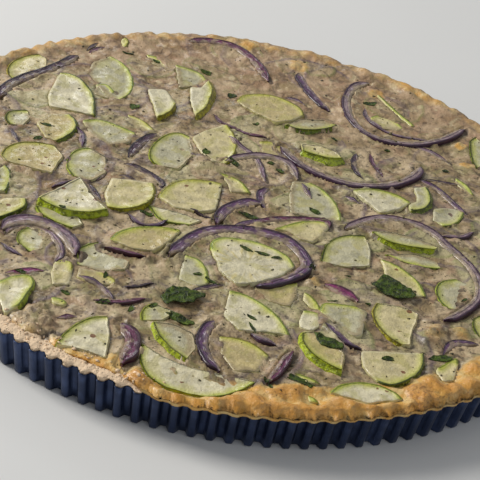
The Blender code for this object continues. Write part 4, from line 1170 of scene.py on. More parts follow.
@dataclass
class Pastry:
    """The pastry case: fluted outside, with a crumbly edge that stands a little over the tin."""

    steps: int = 12
    gap: float = 0.25
    finish: PastryFinish = PastryFinish()

    def crumble(self, x: Array, y: Array) -> Array:
        """Height of the broken edge over its mean."""
        bare = open_side(np.arctan2(y, x))
        lumps = domes(x, y, 2.6, 1.6) * 0.5 + domes(x + 50, y, 1.5, 0.9) * 0.4
        return bare * (lumps + 0.55 * crags(x, y, 6.0) + 0.3) + (1 - bare) * 0.1 * lumps

    def build(self) -> Shape:
        """Builds the case and returns its shape."""
        tin = Tin(self.steps)
        inset = TIN_WALL + self.gap
        wall = [(1.1, -1.0), (2.2, 0.0), (8.0, 0.0), (14.0, 0.0)]
        rings = [tin.ring(TIN_BASE_RADIUS + TIN_LEAN * z - inset + out, z) for z, out in wall]
        rim = np.array([(0.0, 0.6), (0.1, 1.2), (0.0, 1.65), (0.5, 2.0), (0.2, 2.4), (-0.8, 2.8), (-2.2, 3.0),
                        (-3.6, 3.0), (-5.0, 2.7), (-6.4, 2.1)])
        share = np.linspace(0, len(rim) - 1, 2 * len(rim) - 1)
        rows = np.arange(len(rim))
        for out, rise in zip(np.interp(share, rows, rim[:, 0]), np.interp(share, rows, rim[:, 1])):
            flute = FLUTE_DEPTH * float(np.interp(rise, (1.65, 2.0, 2.6), (1.0, 0.5, 0.15)))
            ring = tin.ring(TIN_RADIUS - inset + out, 14.3, flute)
            away = np.linalg.norm(ring[:, :2], axis=1)[:, None]
            angle = np.arctan2(ring[:, 1], ring[:, 0])
            bare = open_side(angle)
            push = (0.15 + 0.45 * bare) * crags(ring[:, 0] * 1.7, ring[:, 1] * 1.7, 4.0)
            push -= 0.6 * (1 - bare)
            ring[:, 2] += rise * (0.3 + 0.7 * bare)
            ring[:, 2] += self.crumble(ring[:, 0], ring[:, 1]) * min(1.0, rise / 2.0)
            proud = bare > 0.5
            brim = np.where(proud, TIN_HEIGHT + 0.08, math.inf)
            ring[:, 2] = np.minimum(ring[:, 2], brim) if rise < 1.66 else np.where(
                proud, np.maximum(ring[:, 2], TIN_HEIGHT + 0.12), ring[:, 2])
            clear = np.where(ring[:, 2] < TIN_HEIGHT + 0.1, tin_wall(angle, ring[:, 2]) - inset, math.inf)
            ring[:, :2] *= np.minimum(1 + push[:, None] / away, clear[:, None] / away)
            rings.append(ring)
        rings.append(tin.ring(TIN_RADIUS - 8.2, 4.3, 0.3))
        points = np.vstack(rings)
        angle = np.arctan2(points[:, 1], points[:, 0])
        brown = 0.55 - 0.5 * facing(angle, -112, 18) + 0.2 * facing(angle, 90, 80)
        brown = brown + 0.25 * crags(points[:, 0], points[:, 1], 9.0)
        shape = Shape(points, tube(rings), {"brown": brown})
        shape.piece("pastry_case", self.finish.material(), "crust", ["crust"])
        return shape


@dataclass
class Contact:
    """Where the custard lies near one topping: its points there and how they stand to the outline."""

    rows: Array
    away: Array
    sheltered: Array
    inner: Array
    top: Array
    closed: bool
    hold: float
    wash: float
    free: Array


@dataclass
class Footprint:
    """Where a topping stands in the custard: its outline or middle line, its height and how washed over."""

    line: Array
    height: float
    slope: Pair
    closed: bool
    half: float = 0.0
    hold: float = 0.8
    wash: float = 0.3
    outer: float = 0.0
    bared: Pair = (0.0, 0.0)

    def contact(self, custard: Array) -> Contact | None:
        """Measures the custard's points near the topping.

        Args:
            custard: Plan positions of the custard's points.

        Returns:
            The contact, or None where no point is near.
        """
        reach = 6.5 + self.half
        low, high = self.line.min(0) - reach, self.line.max(0) + reach
        rows = np.nonzero(((custard > low) & (custard < high)).all(1))[0]
        if not len(rows):
            return None
        plan = custard[rows]
        line = np.vstack([self.line, self.line[:1]]) if self.closed else self.line
        away, along = distance_to(plan, line)
        lengths = lengths_along(line)
        nearest = at_length(along, lengths, line)
        outward = (plan - nearest) / np.maximum(away, 0.05)[:, None]
        run = at_length(along, lengths, np.gradient(line, axis=0))
        left = run[:, 0] * outward[:, 1] - run[:, 1] * outward[:, 0]
        inner = (left * self.outer < 0).astype(float)
        away = away - self.half
        if self.closed:
            away = np.where(inside(plan, self.line), -away, away)
        middle = self.line.mean(0)
        top = self.height + (plan - middle) @ np.array(self.slope)
        sheltered = outward @ np.array(SHELTER)
        free = step(outward @ np.array(self.bared), 0.2, 0.6)
        return Contact(rows, away, sheltered, inner, top, self.closed, self.hold, self.wash, free)


def lay_round(contact: Contact, plan: Array, height: Array, gap: Array) -> None:
    """Lets the custard meet one topping: it climbs, dips on the sheltered side, laps over the edge and gets
    painted shadow.

    Args:
        contact: How the custard's points stand to the topping.
        plan: Plan positions of the custard's points.
        height: Their heights, which are changed.
        gap: How much painted shadow each gets in the gap beside the topping, which is changed.
    """
    rows, away, top = contact.rows, contact.away, contact.top
    x, y = plan[rows].T
    wander = crags(x + 7, y - 5, 6.5, 2)
    old = height[rows]
    out = np.clip(away, 0, None)
    shelter = step(contact.sheltered + 0.5 * wander, 0.1, 0.9) * (1 - contact.inner)
    spread = (2.4 if contact.closed else 1.4) + 1.8 * contact.inner
    climb = np.clip(top - 0.3 - old, 0, 1.9 + 0.5 * contact.inner) * np.exp(-out / spread)
    climb = climb * (1 - 0.8 * shelter) * (1 - contact.free)
    dip = 0.75 * np.exp(-out / 0.9) * shelter
    level = np.where(away > 6, old, old + climb - dip)
    held = np.where(away < 0, np.minimum(old, top - contact.hold), level)
    edge = 0.75 - 1.3 * contact.wash
    lap = step(wander + 0.4 * waves(x, y, 2.4), edge - 0.15, edge + 0.2)
    lap = lap * (step(-away, 2.8, 0.2) if contact.closed else step(-away, 1.1, 0.0))
    lapped = np.minimum(top + 0.2 - 0.5 * step(-away, 0.8, 2.6), old + 2.0)
    onto = lap * np.where(away > 0, np.exp(-out / 1.6) * (away < 4), 1.0) * (1 - contact.free)
    height[rows] = held * (1 - onto) + np.maximum(lapped, held) * onto
    # Painted shadow beside the topping, strongest on the side away from the light and left off where the
    # custard laps over
    dark = np.exp(-out / 0.8) * (0.4 + 0.6 * shelter) * (1 - 0.8 * contact.inner) * (1 - onto) * (away < 4)
    gap[rows] = np.maximum(gap[rows], dark)


@dataclass
class Slices:
    """The zucchini slices, from cut rounds, halves and quarters."""

    spacing: float = 0.9
    chamfer: float = 0.45
    sample: float = 0.75
    finish: ZucchiniFinish = ZucchiniFinish()
    footprints: list[Footprint] = field(default_factory=list)

    def outline(self, item: Cut) -> tuple[Array, Array, Array]:
        """The slice's outline in plan, as read.

        Args:
            item: The slice.

        Returns:
            The outline, whether each corner is on the rind, and the rind as an open line.
        """
        arc = curve_through(item.skin, self.sample)
        corners = [tuple(arc[-1]), *item.cut, tuple(arc[0])]
        straight = []
        for a, b in zip(corners[:-1], corners[1:]):
            count = max(2, int(math.dist(a, b) / self.sample) + 1)
            straight.append(np.linspace(a, b, count, endpoint=False))
        cut = np.vstack(straight)[1:]
        outline = np.vstack([arc, cut])
        for _ in range(3):
            outline = 0.5 * outline + 0.25 * (np.roll(outline, 1, axis=0) + np.roll(outline, -1, axis=0))
        rind = np.zeros(len(outline), bool)
        rind[: len(arc)] = True
        wave = np.where(rind, 0.25, 0.45) * crags(outline[:, 0], outline[:, 1], 3.8, 2)
        return outline + outward_normals(outline) * wave[:, None], rind, arc

    @staticmethod
    def round_middle(arc: Array) -> tuple[Array, float]:
        """Centre and radius of the circle that fits the rind."""
        a = np.column_stack([2 * arc, np.ones(len(arc))])
        x, y, c = np.linalg.lstsq(a, (arc ** 2).sum(1), rcond=None)[0]
        radius = math.sqrt(max(c + x * x + y * y, 1.0))
        if radius > LARGEST_ROUND:
            middle = arc[len(arc) // 2]
            pull = np.array([x, y]) - middle
            return middle + pull / np.linalg.norm(pull) * LARGEST_ROUND, LARGEST_ROUND
        return np.array([x, y]), radius

    def shape(self, item: Cut) -> Shape:
        """Builds one slice.

        Args:
            item: The slice.

        Returns:
            Its closed shape with the marks that its finish reads.
        """
        outline, rind, arc = self.outline(item)
        middle = outline.mean(0)
        height = CUSTARD + item.lift
        seed = sum(ord(letter) for letter in item.name)

        def plane(plan: Array) -> Array:
            """Height of the slice's flat top at plan positions."""
            return height + (plan - middle) @ np.array(item.lean)

        normals = outward_normals(outline)
        inner = outline - normals * self.chamfer
        plan, triangles = filled(inner, self.spacing)
        closed_arc = np.vstack([outline, outline[:1]])
        skin_mm = distance_to(plan, arc)[0]
        edge_mm = distance_to(plan, closed_arc)[0]
        centre, radius = self.round_middle(arc)
        spoke = plan - centre
        away = np.linalg.norm(spoke, axis=1)
        spoke = spoke / np.maximum(away, 0.01)[:, None]
        core = item.seeds * step(away / radius, 0.8, 0.6) * step(away / radius, 0.12, 0.35)
        x, y = plan[:, 0] + 13 * seed, plan[:, 1]
        turn = np.arctan2(spoke[:, 1], spoke[:, 0])
        ridges = np.sin(turn * 22 + 4 * waves(x, y, 5.0)) * core * 0.1
        relief = 0.25 * step(skin_mm, 2.0, 0.4) - 0.35 * step(edge_mm, 0.0, 4.5) + ridges
        relief = relief + 0.55 * crags(x, y, 9.0) + 0.18 * crags(x, y, 3.0, 2)
        top_z = plane(plan) + relief
        top = np.column_stack([placed(plan, top_z), top_z])
        border = 0.55 * crags(outline[:, 0] + 13 * seed, outline[:, 1], 9.0)
        fine = 0.12 * waves(outline[:, 0] + seed, outline[:, 1], 2.0)
        rim_z = plane(outline) - 0.32 + border + fine
        rings = [np.column_stack([placed(outline, rim_z), rim_z])]
        for share in (0.25, 0.6, 1.0):
            bulge = np.where(rind, item.flare * share ** 0.6, 0.25 * share)
            grain = 0.15 * waves(outline[:, 0] * 1.5 + 40 * share, outline[:, 1] * 1.5, 2.0)
            z = rim_z - (item.thick - 0.4) * share
            side = placed(outline + normals * (bulge + grain)[:, None], rim_z)
            rings.append(np.column_stack([side, z]))
        points = np.vstack([top] + rings)
        away_out = np.linalg.norm(points[:, :2], axis=1)
        points[:, :2] *= np.minimum(1.0, SLICE_REACH / np.maximum(away_out, 1.0))[:, None]
        start = len(top)
        count = len(outline)
        faces = list(triangles)
        faces += [(i, (i + 1) % count, start + (i + 1) % count, start + i) for i in range(count)]
        faces += bands(rings, start=start)
        last = start + (len(rings) - 1) * count
        faces.append(tuple(last + i for i in range(count)))
        faces = self.facing_out(points, faces)
        polar = np.column_stack([spoke * radius * 0.7, away * 0.22 + seed])
        marks = self.marks(item, plan, skin_mm, edge_mm, polar, core, outline, rind, len(rings))
        line = placed(outline, np.full(count, height))
        wash = min(0.85, 0.12 + 1.1 * item.veil)
        turned = np.array(item.skin).mean(0) - np.array(item.skin + item.cut).mean(0)
        turned = turned / max(float(np.hypot(*turned)), 0.1)
        bared = (float(turned[0]), float(turned[1])) if turned[1] < -0.3 and item.lift > 0.7 else (0.0, 0.0)
        self.footprints.append(Footprint(line, height, item.lean, True, wash=wash, bared=bared))
        return Shape(points, faces, marks)

    @staticmethod
    def facing_out(points: Array, faces: Faces) -> Faces:
        """Turns the faces round if the closed shape is inside out."""
        volume = 0.0
        for face in faces:
            a = points[face[0]]
            for k in range(1, len(face) - 1):
                volume += float(a @ np.cross(points[face[k]], points[face[k + 1]]))
        return faces if volume > 0 else [tuple(reversed(face)) for face in faces]

    @staticmethod
    def marks(item: Cut, plan: Array, skin_mm: Array, edge_mm: Array, polar: Array,
              core: Array, outline: Array, rind: Array, levels: int) -> dict[str, Array]:
        """The numbers and colours that the finish reads, for the top and then the side rings."""
        count, total = len(outline), len(plan) + levels * len(outline)
        sides = [outline] * levels
        everywhere = np.vstack([plan] + sides)
        on_rind = np.where(rind, 1.0, 0.0)
        char = np.zeros(total)
        for x, y, size in item.spots:
            away = np.hypot(everywhere[:, 0] - x, everywhere[:, 1] - y)
            char = np.maximum(char, step(away, size * 1.25, size * 0.35))
        rimmed = step(edge_mm, 4.0, 0.3) * step(skin_mm, 1.5, 4.0)
        veil = item.veil * (0.6 + 0.7 * rimmed) + 0.22 * rimmed
        distance = np.concatenate([skin_mm] + [np.where(rind, 0.0, 3.0)] * levels)
        return {
            "skin_mm": distance,
            "cut_mm": np.concatenate([np.where(skin_mm > edge_mm + 0.8, edge_mm, 3.0)]
                                     + [np.where(rind, 3.0, 0.0)] * levels),
            "rind": np.concatenate([np.zeros(len(plan)), on_rind * 0.85] + [on_rind] * (levels - 1)),
            "core": np.concatenate([core] + [np.zeros(count)] * levels),
            "veil": np.concatenate([veil] + [np.full(count, item.veil * 0.4)] * levels),
            "char": char,
            "polar": np.vstack([polar, np.zeros((levels * count, 3))]),
            "flesh": np.tile(item.flesh.value, (total, 1)),
            "peel": np.tile(item.peel.value, (total, 1)),
        }

    def build(self) -> list[Shape]:
        """Builds all slices and returns their shapes."""
        material = self.finish.material()
        shapes = [self.shape(item) for item in SLICES]
        for item, shape in zip(SLICES, shapes):
            shape.piece(f"zucchini_slice_{item.name}", material, "zucchini", [f"zucchini_{item.name}"])
        sunk = joined([self.shape(item) for item in SUNK])
        sunk.piece("sunk_zucchini", material, "zucchini")
        return shapes + [sunk]


@dataclass
class Strips:
    """The onion strips: curved bands with a raised dark outer edge."""

    spacing: float = 0.9
    deep: float = 2.6
    spread: float = 1.15
    section: tuple[Pair, ...] = (
        (0.0, -1.0), (0.015, -0.3), (0.05, 0.16), (0.11, 0.26), (0.18, 0.16), (0.28, 0.02), (0.4, 0.03),
        (0.5, -0.12), (0.56, 0.0), (0.7, -0.04), (0.8, -0.16), (0.9, -0.32), (0.97, -0.6), (1.0, -1.2))
    finish: OnionFinish = OnionFinish()
    footprints: list[Footprint] = field(default_factory=list)

    def shape(self, item: Strip, ground: "Ground") -> Shape:
        """Builds one strip.

        Args:
            item: The strip.
            ground: What it lies on.

        Returns:
            Its closed shape with marks.
        """
        path = curve_through(item.path, self.spacing)
        plane = CUSTARD + item.lift
        flat = placed(path, np.full(len(path), plane))
        run = lengths_along(flat)
        seed = sum(ord(letter) for letter in item.name)
        side = 0.25 * waves(run + 11 * seed, np.full(len(run), 3.0), 7.0)
        ahead = np.gradient(flat, axis=0)
        ahead /= np.linalg.norm(ahead, axis=1)[:, None]
        left = np.column_stack([-ahead[:, 1], ahead[:, 0]])
        flat = flat + left * side[:, None]
        bend = (ahead[:-1, 0] * ahead[1:, 1] - ahead[:-1, 1] * ahead[1:, 0]).sum()
        outer = -1.0 if bend > 0 else 1.0
        under = ground.heights(flat)
        rise = np.maximum(plane, under + 0.55)
        window = 7
        padded = np.pad(rise, window // 2, mode="edge")
        rise = np.maximum(rise * 0.4 + 0.6 * np.convolve(padded, np.ones(window) / window, "valid"), plane)
        ends = np.minimum(run, run[-1] - run)
        wide = self.spread * item.width * (0.18 + 0.82 * step(ends, -0.5, 6.0))
        wide = wide * (1 + 0.2 * waves(run + 5 * seed, np.full(len(run), 9.0), 6.0))
        rise = rise - 0.5 * step(ends, 2.5, 0.0)
        rise = rise + 0.3 * waves(run + 9 * seed, np.full(len(run), 4.0), 8.0)
        rings = []
        across = []
        for i in range(len(path)):
            ring = []
            scale = wide[i] / 4.4
            for share, high in self.section:
                ripple = 0.12 * float(waves(run[i] * 0.8 + seed, share * 9.0, 1.0))
                offset = outer * wide[i] * (0.5 - share)
                ring.append((*(flat[i] + left[i] * offset), rise[i] + (high + ripple) * min(scale, 1.1)))
            for share in (1.0, 0.0):
                offset = outer * wide[i] * (0.5 - share) * 0.9
                ring.append((*(flat[i] + left[i] * offset), min(rise[i], plane + 0.8) - self.deep))
            rings.append(np.array(ring))
            across += [share for share, _ in self.section] + [1.0, 0.0]
        faces = bands(rings)
        count = len(rings[0])
        faces.append(tuple(range(count)))
        faces.append(tuple((len(rings) - 1) * count + i for i in reversed(range(count))))
        points = np.vstack(rings)
        faces = Slices.facing_out(points, faces)
        across = np.array(across)
        along = np.repeat(run, count)
        outer_colour, face, inner = item.hue.value
        marks = {
            "across": across,
            "lengthwise": np.column_stack([along * 0.16 + seed, across * 4.5, np.zeros(len(along))]),
            "outer": np.tile(outer_colour, (len(points), 1)),
            "face": np.tile(face, (len(points), 1)),
            "inner": np.tile(inner, (len(points), 1)),
        }
        half = self.spread * item.width / 2
        self.footprints.append(Footprint(flat, float(plane), (0.0, 0.0), False, half, 0.5, 0.3, outer))
        return Shape(points, faces, marks)

    def build(self, ground: "Ground") -> list[Shape]:
        """Builds all strips and returns their shapes."""
        material = self.finish.material()
        shapes = [self.shape(item, ground) for item in STRIPS]
        for item, shape in zip(STRIPS, shapes):
            shape.piece(f"onion_strip_{item.name}", material, "onion", [f"onion_{item.name}"])
        slivers = joined([self.shape(item, ground) for item in SLIVERS])
        slivers.piece("onion_slivers", material, "onion")
        return shapes + [slivers]


class Ground:
    """The surface that loose things lie on, made of the shapes that are built so far."""

    def __init__(self, shapes: Sequence[Shape] = ()) -> None:
        """Makes the surface of the given shapes."""
        self.shapes = list(shapes)
        self.tree: BVHTree | None = None

    def add(self, shapes: Sequence[Shape]) -> None:
        """Adds shapes to it."""
        self.shapes += shapes
        self.tree = None

    def drop(self, x: float, y: float) -> tuple[Vector, Vector] | None:
        """Place and normal of the surface under a point in plan, or None."""
        if self.tree is None and self.shapes:
            whole = joined(self.shapes)
            self.tree = BVHTree.FromPolygons(whole.points.tolist(), whole.faces)
        if self.tree is None:
            return None
        place, normal, _, _ = self.tree.ray_cast(Vector((x, y, ABOVE_ALL)), Vector((0, 0, -1)))
        return None if place is None else (place, normal)

    def heights(self, plan: Array) -> Array:
        """Heights under plan positions, or well below the tart where there is nothing."""
        found = [self.drop(float(x), float(y)) for x, y in plan]
        return np.array([hit[0].z if hit else BELOW_ALL for hit in found])


@dataclass
class Leaves:
    """Herb leaves and torn bits of them: thin crinkled shells."""

    spacing: float = 0.7
    thick: float = 0.35
    finish: HerbFinish = HerbFinish()

    def shape(self, outline: Array, base: float, ground: Ground, seed: int, crinkle: float = 1.0) -> Shape:
        """Builds one leaf.

        Args:
            outline: Its outline as read.
            base: Lowest height of its top.
            ground: What it lies on.
            seed: Number that sets its crinkles.
            crinkle: How strong they are.

        Returns:
            Its closed shape.
        """
        plan, triangles = filled(outline, self.spacing)
        edge = distance_to(plan, np.vstack([outline, outline[:1]]))[0]
        flat = placed(plan, np.full(len(plan), base))
        under = ground.heights(flat)
        x, y = plan[:, 0] + 17 * seed, plan[:, 1]
        folds = 0.55 * waves(x, y, 2.6) + 0.3 * waves(x, y, 1.2)
        curl = 0.5 * step(edge, 1.3, 0.0) * waves(x, y, 4.5)
        z = np.maximum(base, under + 0.45) + crinkle * (folds + curl)
        z = np.maximum(z, under + 0.2)
        top = np.column_stack([flat, z])
        low = top - np.array([0, 0, self.thick])
        points = np.vstack([top, low])
        count, total = len(outline), len(plan)
        faces = list(triangles) + [tuple(total + k for k in reversed(face)) for face in triangles]
        faces += [(i, (i + 1) % count, total + (i + 1) % count, total + i) for i in range(count)]
        return Shape(points, Slices.facing_out(points, faces))

    def build(self, ground: Ground) -> list[Shape]:
        """Builds the leaves and the torn bits."""
        material = self.finish.material()
        shapes = []
        for number, item in enumerate(LEAVES):
            outline = curve_through([*item.outline, item.outline[0]], self.spacing)[:-1]
            wave = 0.3 * crags(outline[:, 0] * 1.3, outline[:, 1] * 1.3, 2.0, 2)
            outline = outline + outward_normals(outline) * wave[:, None]
            shape = self.shape(outline, CUSTARD + item.lift, ground, number)
            shape.piece(f"herb_leaf_{item.name}", material, "leaf", [f"leaf_{item.name}"])
            shapes.append(shape)
        bits = []
        for number, (x, y, length, width, turn) in enumerate(SCRAPS):
            angle = np.linspace(0, 2 * np.pi, 18, endpoint=False)
            ragged = 1 + 0.3 * waves(np.cos(angle) * 3 + 5 * number, np.sin(angle) * 3, 1.0)
            blade = np.column_stack([0.5 * length * np.cos(angle) * ragged,
                                     0.5 * width * np.sin(angle) * ragged * (0.8 + 0.2 * np.cos(angle))])
            c, s = math.cos(math.radians(turn)), math.sin(math.radians(turn))
            outline = blade @ np.array([[c, s], [-s, c]]) + (x, y)
            bits.append(self.shape(outline, CUSTARD - 0.2, ground, 31 + number, 0.55))
        scraps = joined(bits)
        scraps.piece("herb_scraps", material, "leaf")
        return shapes + [scraps]


@dataclass
class Custard:
    """The baked custard: buried toppings, lumps, a golden rim and the dents of the toppings."""

    foot: float = 4.8
    sectors: int = 1032
    even: int = 126
    sunken: int = 150
    seed: int = 23
    finish: CustardFinish = CustardFinish()

    def reach(self, angle: Array) -> Array:
        """How far out the custard runs at each direction, over the pastry except on its open side."""
        wander = crags(angle * 40, angle * 0 + 2.0, 2.2)
        bare = open_side(angle)
        ragged = crags(150 * np.cos(angle), 150 * np.sin(angle), 7.0)
        share = 0.36 - 0.28 * facing(angle, 90, 95)
        over = TIN_RADIUS + 0.6 - share * FLUTE_DEPTH * (1 - flute_crest(angle))
        over = over + 0.5 * np.clip(ragged, -0.1, 1)
        return over * (1 - bare) + (144.2 + 1.3 * wander) * bare

    @staticmethod
    def level(x: Array, y: Array) -> Array:
        """The long waves of the surface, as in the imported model."""
        r = np.hypot(x, y)
        a = np.sin(0.083 * x + 1.3) * np.sin(0.071 * y - 0.4)
        b = np.sin(0.19 * x - 0.11 * y + 2.1) * 0.6
        c = np.sin(0.29 * y + 0.17 * x + 0.7) * 0.4
        edge = np.clip((r - 118) / 22, 0, 1)
        return CUSTARD + 0.45 * (a + b + c) / 2 + 0.7 * edge * np.sin(0.31 * x + 0.27 * y) ** 2

    @staticmethod
    def browned(x: Array, y: Array) -> Array:
        """How toasted the surface is, from 0 to about 1."""
        r, angle = np.hypot(x, y), np.arctan2(y, x)
        start = 136 - 7 * facing(angle, -68, 26) + 3 * crags(x, y, 14.0)
        weight = 0.5 + 0.5 * facing(angle, -68, 40) + 0.25 * crags(x + 9, y, 11.0)
        brown = step(r, start, start + 10) * weight
        for cx, cy, radius, strength in TOASTED:
            away = np.hypot(x - cx, y - cy) + 1.5 * waves(x, y, 4.0)
            brown = np.maximum(brown, strength * step(away, radius, radius * 0.35))
        return brown

    def buried(self, x: Array, y: Array) -> dict[str, Array]:
        """Rounds of zucchini and rings of onion that show faintly through the custard.

        Args:
            x: Plan positions of the custard's points.
            y: Plan positions of the custard's points.

        Returns:
            How much flesh, rind and onion shows at each point, and how much they lift it.
        """
        draw = np.random.default_rng(self.seed)
        found = {name: np.zeros_like(x) for name in ("under_slice", "under_rind", "under_onion", "lift")}
        bend_x, bend_y = 1.1 * waves(x, y, 6.0), 1.1 * waves(x + 40, y, 6.0)
        for number in range(self.sunken):
            away, around = 138 * math.sqrt(draw.uniform()), draw.uniform(0, 2 * math.pi)
            cx, cy = away * math.cos(around), away * math.sin(around)
            sliced = number % 5 < 2
            radius = draw.uniform(8, 15) if sliced else draw.uniform(9, 26)
            turn, chord = draw.uniform(0, 2 * math.pi), draw.uniform(-0.2, 0.6)
            shows = draw.uniform(0.35, 1.0)
            wide = draw.uniform(1.6, 4.6)
            rows = np.nonzero((np.abs(x - cx) < radius + 4) & (np.abs(y - cy) < radius + 4))[0]
            dx, dy = x[rows] - cx + bend_x[rows], y[rows] - cy + bend_y[rows]
            far = np.hypot(dx, dy)
            along = dx * math.cos(turn) + dy * math.sin(turn)
            if sliced:
                cut = -chord * radius
                body = step(far, radius + 0.5, radius - 0.6) * step(along, cut - 0.5, cut + 0.5)
                rind = np.exp(-((far - radius + 0.6) / 0.65) ** 2) * step(along, cut, cut + 1)
                lift = 0.35 * body + 0.2 * rind
                marks = {"under_slice": 0.8 * body, "under_rind": 0.75 * rind, "lift": lift}
            else:
                span = step(along / np.maximum(far, 1.0), 0.1 + chord, 0.25 + chord)
                band = step(np.abs(far - radius), wide / 2, wide / 2 - 0.8) * span
                line = np.exp(-((far - radius - wide / 2 + 0.5) / 0.5) ** 2) * span
                onion = np.clip(0.55 * band + 0.8 * line, 0, 1)
                marks = {"under_onion": onion, "lift": 0.3 * band + 0.25 * line}
            for name, values in marks.items():
                found[name][rows] = np.maximum(found[name][rows], values * shows)
        return found

    @staticmethod
    def oval(x: Array, y: Array, place: Five) -> Array:
        """Distance from an oval's centre, where 1 is its edge."""
        return np.hypot((x - place[0]) / place[2], (y - place[1]) / place[3])

    def rings(self) -> tuple[list[Array], Faces]:
        """Plan positions ring by ring, 1 mm apart and closer at the edge, and the faces between them."""
        counts = [self.sectors // 4] * 40 + [self.sectors // 2] * 56 + [self.sectors] * 50
        rings = []
        for k, count in enumerate(counts):
            angle = FLUTE_TURN + 2 * np.pi * np.arange(count) / count
            radius = np.full(count, k + 1.0)
            if k + 1 > self.even:
                share = (k + 1 - self.even) / (len(counts) - self.even)
                radius = self.even + (self.reach(angle) - self.even) * share
            rings.append(around(radius, angle))
        faces: Faces = [(0, 1 + i, 1 + (i + 1) % counts[0]) for i in range(counts[0])]
        start = 1
        for n, m in zip(counts[:-1], counts[1:]):
            other = start + n
            for i in range(n):
                j = (i + 1) % n
                if n == m:
                    faces.append((start + i, other + i, other + j, start + j))
                else:
                    faces.append((start + i, other + 2 * i, other + 2 * i + 1))
                    faces.append((start + i, other + 2 * i + 1, start + j))
                    faces.append((start + j, other + 2 * i + 1, other + (2 * i + 2) % m))
            start = other
        return rings, faces

    def surface(self, plan: Array, footprints: Sequence[Footprint]) -> tuple[Array, dict[str, Array]]:
        """Heights of the custard and the marks that its finish reads.

        Args:
            plan: Plan positions of its points.
            footprints: The toppings that it lies round.

        Returns:
            The heights and the marks.
        """
        x, y = plan[:, 0], plan[:, 1]
        angle, r = np.arctan2(y, x), np.hypot(x, y)
        out = self.reach(angle)
        measured = [footprint.contact(plan) for footprint in footprints]
        contacts = [contact for contact in measured if contact is not None]
        clear = np.full(len(x), 9.0)
        for contact in contacts:
            clear[contact.rows] = np.minimum(clear[contact.rows], contact.away)
        brown = self.browned(x, y)
        buried = self.buried(x, y)
        lumps = domes(x, y, 7.4, 5.0)
        small = domes(x + 31, y, 3.2, 1.9)
        bulge = np.maximum(lumps, small * 0.5) * np.clip(1.4 * brown, 0, 1) * step(clear, 0.3, 4.5)
        height = self.level(x, y) + 0.85 * crags(x, y, 10.0, 2) + 0.3 * crags(x, y, 3.6, 2)
        height += 0.4 * domes(x, y + 17, 7.5, 3.4) + 1.2 * buried.pop("lift")
        height += 0.9 * step(r, 126, 139) * brown * step(clear, -1, 5)
        height += (1.3 + 0.8 * facing(angle, -62, 42)) * bulge
        tiny = domes(x + 31, y + 9, 1.9, 1.25)
        for place in RUBBLE:
            heap = step(self.oval(x, y, place) + 0.25 * waves(x, y, 3.0), 1.0, 0.5)
            height += place[4] * heap * (0.3 + 0.7 * small + 0.45 * tiny) * step(clear, 0.0, 2.0)
        pits = [self.oval(x, y, place) + 0.6 * waves(x, y, 2.2) for place in HOLLOWS]
        for place, away in zip(HOLLOWS, pits):
            height -= place[4] * step(away, 1.0, 0.35)
        bare = open_side(angle)
        height -= (0.7 + 1.5 * bare) * step(r, out - 3.0, out) ** 1.5
        edge = step(r, out - 1.2, out + 0.3) ** 2 * (1 - bare)
        height += (TIN_HEIGHT + 0.3 + 0.3 * waves(x, y, 5.0) - height) * edge
        gap = np.zeros(len(x))
        for contact in contacts:
            lay_round(contact, plan, height, gap)
        height = np.where(r > TIN_RADIUS - FLUTE_DEPTH - 2.2, np.maximum(height, TIN_HEIGHT + 0.2), height)
        # Painted shade in the hollows, laid on the same gap mark as the painted shadow
        for away in pits:
            gap = np.maximum(gap, 1.2 * step(away, 1.1, 0.4))
        return height, {"brown": brown, "bulge": bulge, "gap": gap, "back": step(y, 45, 105), **buried}

    def build(self, footprints: Sequence[Footprint]) -> Shape:
        """Builds the custard round the toppings and returns its shape."""
        rings, faces = self.rings()
        plan = np.vstack([np.zeros((1, 2))] + rings)
        height, marks = self.surface(plan, footprints)
        top = np.column_stack([plan, height])
        count = self.sectors
        edge = top[-count:].copy()
        angle, away = np.arctan2(edge[:, 1], edge[:, 0]), np.hypot(edge[:, 0], edge[:, 1])
        wall = tin_wall(angle, TIN_HEIGHT)
        hangs, lies, brim = away > wall + 0.5, away > wall - 1.3, TIN_HEIGHT + 0.08
        droop = 0.3 + 0.35 * np.clip(crags(edge[:, 0] * 1.3, edge[:, 1] * 1.3, 4.0), -0.6, 1)
        low = np.where(hangs, TIN_HEIGHT - droop, np.where(lies, brim, edge[:, 2] - 0.5))
        behind = np.where(hangs, wall + 0.35, away - 0.1)
        high = np.where(hangs, brim, low)
        within = np.minimum(wall - TIN_WALL - 0.45, away - 0.4)
        middle = np.where(hangs, 0.5 * (edge[:, 2] + low), low)
        lip = [(away + 0.05 * hangs, middle), (away - 0.1, low), (behind, low), (behind, high),
               (within, high), (within * 0.985 - 2, self.foot)]
        rings = [around(far, angle, np.broadcast_to(z, count)) for far, z in lip]
        points = np.vstack([top, *rings])
        faces += bands([edge, *rings], start=len(top) - count)
        faces.append(tuple(len(points) - 1 - i for i in range(count)))
        tail = np.zeros(len(rings) * count)
        marks = {name: np.concatenate([values, tail]) for name, values in marks.items()}
        marks["brown"][len(top):] = 0.7
        shape = Shape(points, faces, marks)
        shape.piece("custard_filling", self.finish.material(), "custard", ["custard"])
        return shape


